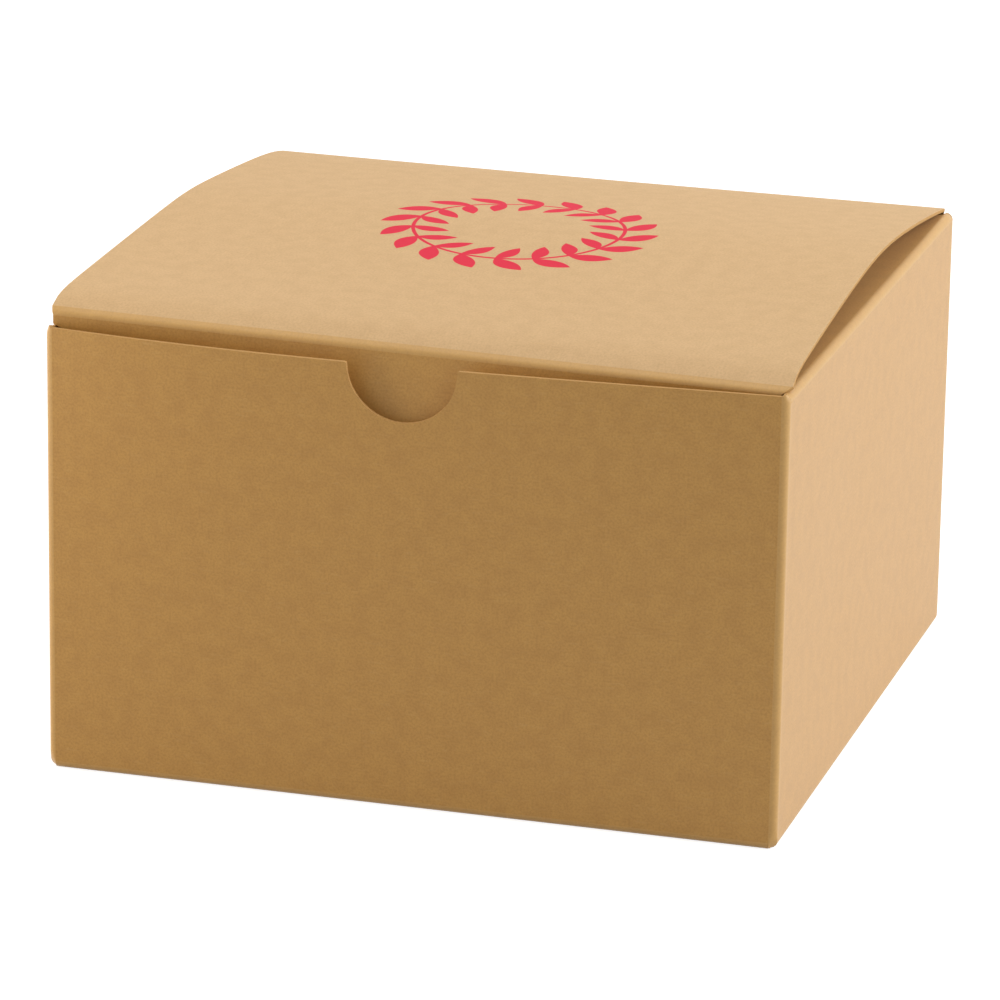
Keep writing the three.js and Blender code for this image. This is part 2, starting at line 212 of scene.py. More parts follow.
@dataclass(frozen=True)
class KraftFinish:
    """Uncoated kraft board, rolled from long unbleached fibres: matt, warm brown, with fine flecks.

    Attributes:
        name: the material's name.
        colour: the board between its flecks.
        fleck: its dark flecks and clouds.
        fibre: its pale fibres, which a worn fold shows too.
        roughness: how widely the rolled surface spreads light.
        ior: cellulose's index of refraction.
        sheen: glow of the loose fibre ends at a flat angle.
        sheen_roughness: how widely that glow spreads.
        fleck_size: size of a fleck in millimetres.
        cloud_size: size of a cloud in millimetres.
        fibre_width: width of a fibre in millimetres.
        fibre_length: length of a fibre in millimetres.
        fibre_turn: radians between the fibres and the walls' width.
        fibre_bend: how much the fibres wander.
        flecks: how the flecks show.
        clouds: how the clouds show.
        fibres: how the fibres show.
        wear: how the wear of a fold shows.
        relief: depth of the board's relief in millimetres.
        relief_strength: how much of that depth is seen.
    """

    name: str = "Uncoated kraft board"
    colour: str = "#C9984F"
    fleck: str = "#A67538"
    fibre: str = "#D6AE70"
    roughness: float = 0.45
    ior: float = 1.5
    sheen: float = 0.12
    sheen_roughness: float = 0.4
    fleck_size: float = 0.4
    cloud_size: float = 3.2
    # Real kraft fibres are about 0.03 mm wide, too fine to show in the render, so they are drawn coarser
    fibre_width: float = 0.45
    fibre_length: float = 2.2
    fibre_turn: float = 0.35
    fibre_bend: float = 0.6
    flecks: Showing = Showing(start=0.4, end=0.75, most=0.4)
    clouds: Showing = Showing(start=0.35, end=0.7, most=0.22)
    fibres: Showing = Showing(start=0.6, end=0.85, most=0.18)
    wear: Showing = Showing(start=0.0, end=1.0, most=0.35)
    relief: float = 0.02
    relief_strength: float = 0.35

    def pattern(self, tree: bpy.types.NodeTree) -> tuple[bpy.types.NodeSocket, bpy.types.NodeSocket]:
        """Builds the board's colour and relief on the sheet's own coordinates.

        Args:
            tree: the material's tree.

        Returns:
            The colour, and the relief from 0 to 2.
        """
        sheet = add_node(tree, "ShaderNodeUVMap", {"uv_map": BLANK_UV}).outputs[0]
        flecks = add_node(
            tree,
            "ShaderNodeTexNoise",
            {"noise_dimensions": "2D"},
            {"Vector": sheet, "Scale": 1 / (self.fleck_size * MM), "Detail": 2.0, "Roughness": 0.6},
        ).outputs["Fac"]
        clouds = add_node(
            tree,
            "ShaderNodeTexNoise",
            {"noise_dimensions": "2D"},
            {"Vector": sheet, "Scale": 1 / (self.cloud_size * MM), "Detail": 3.0, "Roughness": 0.55},
        ).outputs["Fac"]
        drawn = add_node(
            tree,
            "ShaderNodeMapping",
            None,
            {
                "Vector": sheet,
                "Rotation": (0, 0, self.fibre_turn),
                "Scale": (1 / (self.fibre_length * MM), 1 / (self.fibre_width * MM), 1),
            },
        ).outputs[0]
        fibres = add_node(
            tree,
            "ShaderNodeTexNoise",
            {"noise_dimensions": "2D"},
            {"Vector": drawn, "Scale": 1.0, "Detail": 1.0, "Distortion": self.fibre_bend},
        ).outputs["Fac"]
        worn = add_node(tree, "ShaderNodeAttribute", {"attribute_name": CREASE}).outputs["Fac"]
        layers = (
            (flecks, self.flecks, self.fleck),
            (clouds, self.clouds, self.fleck),
            (fibres, self.fibres, self.fibre),
            (worn, self.wear, self.fibre),
        )
        colour = linear(self.colour)
        for value, showing, code in layers:
            share = add_node(
                tree,
                "ShaderNodeMapRange",
                None,
                {"Value": value, "From Min": showing.start, "From Max": showing.end, "To Max": showing.most},
            ).outputs[0]
            colour = add_node(
                tree, "ShaderNodeMix", {"data_type": "RGBA"}, {"Factor": share, 6: colour, 7: linear(code)}
            ).outputs[2]
        relief = add_node(
            tree, "ShaderNodeMath", {"operation": "ADD"}, {0: flecks, 1: fibres}
        ).outputs[0]
        return colour, relief

    def close(
        self, tree: bpy.types.NodeTree, colour: bpy.types.NodeSocket, relief: bpy.types.NodeSocket
    ) -> None:
        """Adds the shader that a board's colour and relief end in.

        Args:
            tree: the material's tree.
            colour: the board's colour.
            relief: its relief, from 0 to 2.
        """
        bump = add_node(
            tree,
            "ShaderNodeBump",
            None,
            {"Height": relief, "Strength": self.relief_strength, "Distance": self.relief * MM},
        ).outputs[0]
        shader = add_node(
            tree,
            "ShaderNodeBsdfPrincipled",
            None,
            {
                "Base Color": colour,
                "Roughness": self.roughness,
                "IOR": self.ior,
                "Sheen Weight": self.sheen,
                "Sheen Roughness": self.sheen_roughness,
                "Normal": bump,
            },
        ).outputs[0]
        add_node(tree, "ShaderNodeOutputMaterial", None, {"Surface": shader})

    def make(self) -> bpy.types.Material:
        """Makes the plain board's material.

        Returns:
            The material.
        """
        material, tree = bare_material(self.name)
        colour, relief = self.pattern(tree)
        self.close(tree, colour, relief)
        return material


@dataclass(frozen=True)
class PaintedSheenKraftFinish(KraftFinish):
    """Kraft board on the lid, painted paler than the walls' board as a painted sheen for the whitish glare
    that light at a flat angle gives the lid; matt without a glow of its own.
    """

    name: str = "Kraft board with painted sheen"
    # Colour and flecks painted paler than the walls' board: a painted sheen, not a fading of the board
    colour: str = "#D5B080"
    fleck: str = "#B99366"
    roughness: float = 0.8
    sheen: float = 0.0


@dataclass(frozen=True)
class WreathPrint:
    """Crimson offset ink on the lid: a round wreath of paired leaves in a flat, nearly opaque film.

    Attributes:
        board: the board under the ink.
        centre: the wreath's middle on the sheet, in millimetres as all its sizes are.
        name: the material's name.
        ink: the ink's colour.
        cover: how much of the board the ink hides.
        radius: radius of the stem's ring.
        pairs: how many pairs of leaves the ring has.
        leaf_length: length of a leaf.
        leaf_width: width of a leaf.
        leaf_offset: distance of a leaf's middle from the stem.
        leaf_turn: radians between a leaf and the stem.
        stem_width: width of the stem.
        edge: width over which the ink's edge fades out.
    """

    board: KraftFinish
    centre: tuple[float, float]
    name: str = "Kraft board with a crimson print"
    ink: str = "#DA0036"
    cover: float = 0.98
    radius: float = 18.5
    pairs: int = 18
    leaf_length: float = 7.6
    leaf_width: float = 3.2
    leaf_offset: float = 3.0
    leaf_turn: float = 0.95
    stem_width: float = 0.7
    edge: float = 0.12

    def mask(self, tree: bpy.types.NodeTree) -> bpy.types.NodeSocket:
        """Draws the wreath as a share of ink on the sheet's own coordinates.

        Args:
            tree: the material's tree.

        Returns:
            The share of ink, from 0 to 1.
        """
        step = 2 * math.pi / self.pairs
        sheet = add_node(tree, "ShaderNodeUVMap", {"uv_map": BLANK_UV}).outputs[0]
        spot = add_node(
            tree,
            "ShaderNodeMapping",
            None,
            {
                "Vector": sheet,
                "Location": (-self.centre[0], -self.centre[1], 0),
                "Scale": (1 / MM, 1 / MM, 1),
            },
        ).outputs[0]
        parts = add_node(tree, "ShaderNodeSeparateXYZ", None, {0: spot}).outputs
        reach = add_node(tree, "ShaderNodeVectorMath", {"operation": "LENGTH"}, {0: spot}).outputs["Value"]

        # The ring is rolled out into equal cells, with one pair of leaves in each
        turn = add_node(
            tree, "ShaderNodeMath", {"operation": "ARCTAN2"}, {0: parts[1], 1: parts[0]}
        ).outputs[0]
        count = add_node(tree, "ShaderNodeMath", {"operation": "DIVIDE"}, {0: turn, 1: step}).outputs[0]
        cell = add_node(
            tree, "ShaderNodeMath", {"operation": "WRAP"}, {0: count, 1: 0.5, 2: -0.5}
        ).outputs[0]
        along = add_node(
            tree, "ShaderNodeMath", {"operation": "MULTIPLY"}, {0: cell, 1: step * self.radius}
        ).outputs[0]
        off = add_node(
            tree, "ShaderNodeMath", {"operation": "SUBTRACT"}, {0: reach, 1: self.radius}
        ).outputs[0]
        beside = add_node(tree, "ShaderNodeMath", {"operation": "ABSOLUTE"}, {0: off}).outputs[0]
        flat = add_node(tree, "ShaderNodeCombineXYZ", None, {0: along, 1: beside}).outputs[0]

        # A leaf's outline is a parabola on both sides of its own axis
        leaf = add_node(
            tree,
            "ShaderNodeMapping",
            {"vector_type": "TEXTURE"},
            {"Vector": flat, "Location": (0, self.leaf_offset, 0), "Rotation": (0, 0, self.leaf_turn)},
        ).outputs[0]
        axes = add_node(tree, "ShaderNodeSeparateXYZ", None, {0: leaf}).outputs
        share = add_node(
            tree, "ShaderNodeMath", {"operation": "DIVIDE"}, {0: axes[0], 1: self.leaf_length / 2}
        ).outputs[0]
        squared = add_node(
            tree, "ShaderNodeMath", {"operation": "MULTIPLY"}, {0: share, 1: share}
        ).outputs[0]
        outline = add_node(
            tree,
            "ShaderNodeMath",
            {"operation": "MULTIPLY_ADD"},
            {0: squared, 1: -self.leaf_width / 2, 2: self.leaf_width / 2},
        ).outputs[0]
        away = add_node(tree, "ShaderNodeMath", {"operation": "ABSOLUTE"}, {0: axes[1]}).outputs[0]
        in_leaf = add_node(
            tree, "ShaderNodeMath", {"operation": "SUBTRACT"}, {0: outline, 1: away}
        ).outputs[0]
        in_stem = add_node(
            tree, "ShaderNodeMath", {"operation": "SUBTRACT"}, {0: self.stem_width / 2, 1: beside}
        ).outputs[0]
        inside = add_node(
            tree, "ShaderNodeMath", {"operation": "MAXIMUM"}, {0: in_leaf, 1: in_stem}
        ).outputs[0]
        return add_node(
            tree,
            "ShaderNodeMapRange",
            None,
            {"Value": inside, "From Min": -self.edge / 2, "From Max": self.edge / 2},
        ).outputs[0]

    def make(self) -> bpy.types.Material:
        """Makes the lid's material, with the ink over the board.

        Returns:
            The material.
        """
        material, tree = bare_material(self.name)
        colour, relief = self.board.pattern(tree)
        cover = add_node(
            tree, "ShaderNodeMath", {"operation": "MULTIPLY"}, {0: self.mask(tree), 1: self.cover}
        ).outputs[0]
        inked = add_node(
            tree, "ShaderNodeMix", {"data_type": "RGBA"}, {"Factor": cover, 6: colour, 7: linear(self.ink)}
        ).outputs[2]
        self.board.close(tree, inked, relief)
        return material


@dataclass(frozen=True)
class GrainedFinish:
    """A surface whose grain mixes two close colours and gives it a fine relief.

    Attributes:
        name: the material's name.
        colour: its colour.
        other: the colour that the grain brings in.
        grain: the grain's size in millimetres.
        detail: how many finer grains lie over it.
        roughness: how widely the surface spreads light.
        ior: the material's index of refraction.
        relief_strength: how much of the relief is seen.
        relief: depth of the relief in millimetres.
    """

    name: str
    colour: str
    other: str
    grain: float
    detail: float
    roughness: float
    ior: float
    relief_strength: float
    relief: float = 0.05

    def make(self) -> bpy.types.Material:
        """Makes the material.

        Returns:
            The material.
        """
        material, tree = bare_material(self.name)
        spot = add_node(tree, "ShaderNodeTexCoord").outputs["Object"]
        grain = add_node(
            tree,
            "ShaderNodeTexNoise",
            None,
            {"Vector": spot, "Scale": 1 / (self.grain * MM), "Detail": self.detail},
        ).outputs["Fac"]
        colour = add_node(
            tree,
            "ShaderNodeMix",
            {"data_type": "RGBA"},
            {"Factor": grain, 6: linear(self.colour), 7: linear(self.other)},
        ).outputs[2]
        bump = add_node(
            tree,
            "ShaderNodeBump",
            None,
            {"Height": grain, "Strength": self.relief_strength, "Distance": self.relief * MM},
        ).outputs[0]
        shader = add_node(
            tree,
            "ShaderNodeBsdfPrincipled",
            None,
            {"Base Color": colour, "Roughness": self.roughness, "IOR": self.ior, "Normal": bump},
        ).outputs[0]
        add_node(tree, "ShaderNodeOutputMaterial", None, {"Surface": shader})
        return material


@dataclass(frozen=True)
class CutEdgeFinish(GrainedFinish):
    """The die-cut edge of kraft board: its layers of fibre end on, paler and rougher than the face."""

    name: str = "Die-cut kraft edge"
    colour: str = "#CA9C5A"
    other: str = "#A67A42"
    # The real layers are about 0.1 mm thick, too fine to show in the render, so they are drawn coarser
    grain: float = 0.3
    detail: float = 3.0
    roughness: float = 0.8
    ior: float = 1.5
    relief_strength: float = 0.5


@dataclass(frozen=True)
class GlueFinish(GrainedFinish):
    """Dried white packaging glue (polyvinyl acetate): a milky, slightly glossy film with roller marks."""

    name: str = "Dried packaging glue"
    colour: str = "#E8E0CD"
    other: str = "#D8C8A4"
    grain: float = 1.5
    detail: float = 2.0
    roughness: float = 0.35
    ior: float = 1.46
    relief_strength: float = 0.4


@dataclass(frozen=True)
class PaperFinish:
    """Matt background paper: grey in the lamps' light, with a glow that makes it look white.

    Attributes:
        name: the material's name.
        colour: what the lamps light.
        roughness: how widely the paper spreads light.
        glow: how much the camera and reflections see it glow.
    """

    name: str = "White background paper"
    colour: str = "#B4B4B4"
    roughness: float = 0.9
    glow: float = 0.82

    def make(self) -> bpy.types.Material:
        """Makes the material.

        Returns:
            The material.
        """
        material, tree = bare_material(self.name)
        glow = add_node(
            tree, "ShaderNodeMath", {"operation": "MULTIPLY"}, {0: background_rays(tree), 1: self.glow}
        ).outputs[0]
        shader = add_node(
            tree,
            "ShaderNodeBsdfPrincipled",
            None,
            {
                "Base Color": linear(self.colour),
                "Roughness": self.roughness,
                "Specular IOR Level": 0.0,
                "Emission Color": linear("#FFFFFF"),
                "Emission Strength": glow,
            },
        ).outputs[0]
        add_node(tree, "ShaderNodeOutputMaterial", None, {"Surface": shader})
        return material


@dataclass(frozen=True)
class Materials:
    """The surfaces of a piece of board: its outside, the edge that the die cut and its inside."""

    outside: bpy.types.Material
    edge: bpy.types.Material
    inside: bpy.types.Material

    def index_for(self, rise: float) -> int:
        """Picks the surface for a face of the flat sheet.

        Args:
            rise: height of the face's normal, from -1 for the inside to 1 for the outside.

        Returns:
            The place of its material on the finished piece.
        """
        if abs(rise) < LEVEL_RISE:
            return 1
        return 0 if rise > 0 else 2


class Wall(Enum):
    """The four walls in their order on the sheet, as quarter turns from the front."""

    LEFT = -1
    FRONT = 0
    RIGHT = 1
    BACK = 2

    def place(self, along: float, out: float, height: float) -> Vector:
        """Puts a point of this wall into the box's frame.

        Args:
            along: distance from the wall's middle, to the right seen from outside.
            out: distance outward from the middle of the box.
            height: distance above the surface that the box stands on.

        Returns:
            The point.
        """
        turn = self.value * math.pi / 2
        x = along * math.cos(turn) + out * math.sin(turn)
        y = along * math.sin(turn) - out * math.cos(turn)
        return Vector((x, y, height))


@dataclass(frozen=True)
class Corner:
    """A corner of a flat outline and the radius that it is cut to."""

    s: float
    t: float
    radius: float = 0.0


@dataclass(frozen=True)
class Side:
    """A line across the flat sheet: where axis is 0 it crosses s, and where it is 1 it crosses t."""

    axis: int
    at: float


@dataclass(frozen=True)
class Fold:
    """A scored fold on the flat sheet, from where the board starts to bend to where it is straight again."""

    axis: int
    low: float
    high: float


@dataclass
class Blank:
    """A flat piece of the die-cut board, with s across it, t along it and its outside up.

    Attributes:
        name: the finished piece's name.
        corners: its outline, anticlockwise.
        origin: where the outline's zero lies on the whole sheet.
        joined: sides where the board runs on into the next piece, so that they aren't cut edges.
        folds: where it bends sharply.
        ends: where its corner folds are drawn in.
        board: its thickness.
        step: distance between the lines that let it bend.
        fold_steps: how many strips a fold is diced into.
        fold_margin: how far beside a fold the other lines keep.
        edge_round: how far the edges of the cut board are worn round.
        edge_segments: how many strips a worn edge has.
        crease_reach: how far beside a fold its wear is seen.
        corner_segments: how many sides a cut corner has.
        sharp_angle: degrees between two faces past which the edge between them looks sharp.
        probe: how far to both sides of a point the sheet's slope is measured.
    """

    name: str
    corners: list[Corner]
    origin: tuple[float, float] = (0.0, 0.0)
    joined: list[Side] = field(default_factory=list)
    folds: list[Fold] = field(default_factory=list)
    ends: list[Fold] = field(default_factory=list)
    board: float = 0.6
    step: float = 2.5
    fold_steps: int = 10
    fold_margin: float = 0.3
    edge_round: float = 0.09
    edge_segments: int = 2
    crease_reach: float = 1.2
    corner_segments: int = 14
    sharp_angle: float = 60.0
    probe: float = 0.01

    def cut(self) -> bmesh.types.BMesh:
        """Cuts the outline as one flat face with its corners rounded.

        Returns:
            The flat face's mesh.
        """
        mesh = bmesh.new()
        verts = [mesh.verts.new((corner.s, corner.t, 0)) for corner in self.corners]
        mesh.faces.new(verts)
        for index, corner in enumerate(self.corners):
            if corner.radius == 0:
                continue
            before = self.corners[index - 1]
            after = self.corners[(index + 1) % len(self.corners)]
            one = Vector((before.s - corner.s, before.t - corner.t))
            other = Vector((after.s - corner.s, after.t - corner.t))
            bmesh.ops.bevel(
                mesh,
                geom=[verts[index]],
                offset=corner.radius / math.tan(one.angle(other) / 2),
                affect="VERTICES",
                segments=self.corner_segments,
                profile=0.5,
                material=-1,
                clamp_overlap=False,
            )
        return mesh

    def lines(self, axis: int, low: float, high: float) -> list[float]:
        """Lists where the sheet is diced across one axis.

        Args:
            axis: 0 for s and 1 for t.
            low: lowest coordinate of the outline.
            high: highest coordinate of the outline.

        Returns:
            The coordinates, in order and without doubles.
        """
        count = max(1, round((high - low) / self.step))
        found = {round(lerp(low, high, i / count), PLACE_DIGITS) for i in range(1, count)}
        for fold in self.folds + self.ends:
            if fold.axis == axis:
                start, end = fold.low - self.fold_margin, fold.high + self.fold_margin
                found = {at for at in found if not start < at < end}
                found |= {
                    round(lerp(fold.low, fold.high, i / self.fold_steps), PLACE_DIGITS)
                    for i in range(self.fold_steps + 1)
                }
        gap = 10**-PLACE_DIGITS
        return sorted(at for at in found if low + gap < at < high - gap)

    def dice(self, mesh: bmesh.types.BMesh) -> None:
        """Divides the flat face so that it can bend.

        Args:
            mesh: the flat mesh, which is changed.
        """
        for axis in (0, 1):
            spread = [vert.co[axis] for vert in mesh.verts]
            for at in self.lines(axis, min(spread), max(spread)):
                spot = Vector((0, 0, 0))
                spot[axis] = at
                normal = Vector((0, 0, 0))
                normal[axis] = 1
                everything = [*mesh.verts, *mesh.edges, *mesh.faces]
                bmesh.ops.bisect_plane(
                    mesh, geom=everything, dist=SAME_SPOT, plane_co=spot, plane_no=normal
                )

    def thicken(self, mesh: bmesh.types.BMesh) -> None:
        """Gives the flat sheet the board's thickness, downwards, and softens its cut edges.

        Args:
            mesh: the flat mesh, which is changed.
        """
        grown = bmesh.ops.extrude_face_region(mesh, geom=list(mesh.faces), use_keep_orig=True)
        lower = [item for item in grown["geom"] if isinstance(item, bmesh.types.BMVert)]
        bmesh.ops.translate(mesh, verts=lower, vec=(0, 0, -self.board))
        bmesh.ops.recalc_face_normals(mesh, faces=list(mesh.faces))
        edges = [edge for edge in mesh.edges if self.is_cut_edge(edge)]
        bmesh.ops.bevel(
            mesh,
            geom=edges,
            offset=self.edge_round,
            affect="EDGES",
            segments=self.edge_segments,
            profile=0.5,
            material=-1,
            clamp_overlap=True,
        )

    def is_cut_edge(self, edge: bmesh.types.BMEdge) -> bool:
        """Tells whether an edge of the thick sheet runs along a free cut of the board.

        Args:
            edge: an edge of the thick flat mesh.

        Returns:
            True where the cutting die left a free edge.
        """
        one, other = (vert.co for vert in edge.verts)
        level = abs(one.z - other.z) < SAME_SPOT
        beside_cut = any(abs(face.normal.z) < CUT_RISE for face in edge.link_faces)
        if not (level and beside_cut):
            return False
        return not any(
            abs(one[side.axis] - side.at) < ON_LINE and abs(other[side.axis] - side.at) < ON_LINE
            for side in self.joined
        )

    def crease_at(self, s: float, t: float) -> float:
        """Gives how much a point of the sheet shows the wear of a fold.

        Args:
            s: place across the sheet.
            t: place along it.

        Returns:
            The wear, from 0 to 1.
        """
        most = 0.0
        for fold in self.folds:
            at = (s, t)[fold.axis]
            beside = max(fold.low - at, at - fold.high, 0.0)
            most = max(most, smooth(1 - beside / self.crease_reach))
        return most

    def fold(self, place: Place, materials: Materials) -> bpy.types.Object:
        """Cuts the piece, folds it into place and makes it an object in metres.

        Args:
            place: gives the place of the sheet's outside for s and t.
            materials: the board's outside, cut edge and inside.

        Returns:
            The finished object.
        """
        mesh = self.cut()
        self.dice(mesh)
        self.thicken(mesh)
        blank = mesh.loops.layers.uv.new(BLANK_UV)
        crease = mesh.verts.layers.float.new(CREASE)
        for face in mesh.faces:
            face.smooth = True
            face.material_index = materials.index_for(face.normal.z)
            for loop in face.loops:
                s, t, _ = loop.vert.co
                loop[blank].uv = ((self.origin[0] + s) * MM, (self.origin[1] + t) * MM)
        for edge in mesh.edges:
            edge.smooth = edge.calc_face_angle(0.0) < math.radians(self.sharp_angle)
        for vert in mesh.verts:
            s, t, depth = vert.co
            across = place(s + self.probe, t) - place(s - self.probe, t)
            along = place(s, t + self.probe) - place(s, t - self.probe)
            normal = across.cross(along).normalized()
            vert[crease] = self.crease_at(s, t)
            vert.co = (place(s, t) + normal * depth) * MM
        data = bpy.data.meshes.new(self.name)
        mesh.to_mesh(data)
        mesh.free()
        piece = bpy.data.objects.new(self.name, data)
        bpy.context.scene.collection.objects.link(piece)
        for material in (materials.outside, materials.edge, materials.inside):
            piece.data.materials.append(material)
        normals = piece.modifiers.new("Normals", "WEIGHTED_NORMAL")
        normals.keep_sharp = True
        return piece


@dataclass(frozen=True)
class Carton:
    """Sizes that the whole box shares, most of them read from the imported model.

    Attributes:
        board: thickness of the board.
        fold_radius: radius of a fold's outside.
        half_width: half of the width over the side walls.
        half_depth: half of the depth over the front and rear walls.
        wall_height: height of the walls.
        second_layer: height at which the bottom's upper sheets lie.
        side_level: height to which the side walls' bottom folds sag.
        climb: length over which the side flaps climb onto the lower sheets.
        crush: how much longer a corner fold's lower end is than a quarter ball.
        tip_share: how far a corner fold's sheet runs on past its ends, in fold radii.
    """

    board: float
    fold_radius: float
    half_width: float
    half_depth: float
    wall_height: float
    second_layer: float
    side_level: float = 0.15
    climb: float = 3.0
    crush: float = 2.4
    tip_share: float = 1.5

    @property
    def side_foot(self) -> float:
        """Gives the height at which a side panel ends and its bottom fold begins."""
        return self.side_level + self.fold_radius

    @property
    def fold_tip(self) -> float:
        """Gives how far a corner fold's sheet runs on past its ends to close the corner."""
        return self.tip_share * self.fold_radius

    @property
    def fold_ends(self) -> list[Fold]:
        """Lists the stretches of a corner fold's sheet that are drawn in, from its lower to its upper end."""
        high = self.wall_height - self.fold_radius
        foot = Fold(1, self.fold_radius - self.fold_tip, self.side_foot + self.crush)
        return [foot, Fold(1, high, high + self.fold_tip)]

    @classmethod
    def from_frame(cls) -> "Carton":
        """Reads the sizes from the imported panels.

        Returns:
            The sizes.
        """
        left_low, left_high = node_box("left_panel")
        dust_low, dust_high = node_box("left_dust_flap")
        return cls(
            board=dust_high.z - dust_low.z,
            fold_radius=node_box("front_panel")[0].z,
            half_width=-left_low.x,
            half_depth=left_high.y,
            wall_height=dust_high.z,
            second_layer=node_box("bottom_right_flap")[0].z,
        )

    @property
    def fold_length(self) -> float:
        """Board that a quarter fold takes up, along the middle of its thickness."""
        return math.pi / 2 * (self.fold_radius - self.board / 2)

    @property
    def pitch(self) -> float:
        """Distance on the sheet between the middles of two walls that follow each other."""
        return self.half_width + self.half_depth - 2 * self.fold_radius + self.fold_length

    def half_along(self, wall: Wall) -> float:
        """Gives half of a wall's flat width, between its corner folds."""
        whole = self.half_width if wall in (Wall.FRONT, Wall.BACK) else self.half_depth
        return whole - self.fold_radius

    def out(self, wall: Wall) -> float:
        """Gives how far a wall's outside is from the middle of the box."""
        return self.half_depth if wall in (Wall.FRONT, Wall.BACK) else self.half_width

    def origin(self, wall: Wall) -> tuple[float, float]:
        """Gives where the middle of a wall lies on the sheet."""
        return (wall.value * self.pitch, 0.0)

    def quarter(self, share: float, start: float = 0.0, end: float = 0.0) -> tuple[float, float]:
        """Follows a quarter fold's outside as a smooth curve.

        Args:
            share: how far along the fold, from 0 to 1.
            start: angle by which the board already leans into the turn before the fold.
            end: angle by which it is still short of a square turn after the fold.

        Returns:
            How far the curve has gone in its first direction, and in its new one.
        """
        handle = 4 / 3 * (math.sqrt(2) - 1)
        one = Vector((math.cos(start), math.sin(start))) * handle
        other = Vector((1, 1)) - Vector((math.sin(end), math.cos(end))) * handle
        rest = 1 - share
        curve = one * (3 * rest**2 * share) + other * (3 * rest * share**2) + Vector((1, 1)) * share**3
        return curve.x * self.fold_radius, curve.y * self.fold_radius

    def fold_end(
        self, t: float, foot: float, head: float, crush: float, hold: float
    ) -> tuple[float, float]:
        """Draws in both ends of a corner fold like part of a ball.

        Args:
            t: height on the flat sheet.
            foot: height below which it is drawn in.
            head: height above which it is drawn in.
            crush: how much longer than a quarter ball its lower end is.
            hold: share of the turn at its upper end.

        Returns:
            How much of the fold's radius is left, and the height.
        """
        if t < foot:
            span = self.fold_radius + crush
            bend = (foot - t) / span
            return math.cos(bend), foot - span * math.sin(bend)
        if t > head:
            bend = (t - head) / self.fold_radius * hold
            return math.cos(bend), head + self.fold_radius * math.sin(bend) / hold
        return 1.0, t

    def below(self, wall: Wall, along: float, t: float, level: float, rise: float = 0.0) -> Vector:
        """Places a point of a flap that is folded in under a wall.

        Args:
            wall: the wall that it hangs from.
            along: distance from the wall's middle.
            t: height on the flat sheet, which falls below the fold.
            level: height of the outside of the flap where its fold ends.
            rise: how far the flap climbs from there.

        Returns:
            The point on the flap's outside.
        """
        down = level + self.fold_radius - t
        if down < self.fold_length:
            first, second = self.quarter(down / self.fold_length)
            return wall.place(along, self.out(wall) - second, level + self.fold_radius - first)
        reach = down - self.fold_length
        height = level + rise * smooth(reach / self.climb)
        return wall.place(along, self.out(wall) - self.fold_radius - reach, height)

    def above(self, wall: Wall, along: float, t: float, level: float) -> Vector:
        """Places a point of a flap that is folded in over a wall.

        Args:
            wall: the wall that it hangs from.
            along: distance from the wall's middle.
            t: height on the flat sheet, which rises above the fold.
            level: height of the outside of the flap where its fold ends.

        Returns:
            The point on the flap's outside.
        """
        up = t - (level - self.fold_radius)
        if up < self.fold_length:
            first, second = self.quarter(up / self.fold_length)
            return wall.place(along, self.out(wall) - second, level - self.fold_radius + first)
        reach = up - self.fold_length
        return wall.place(along, self.out(wall) - self.fold_radius - reach, level)


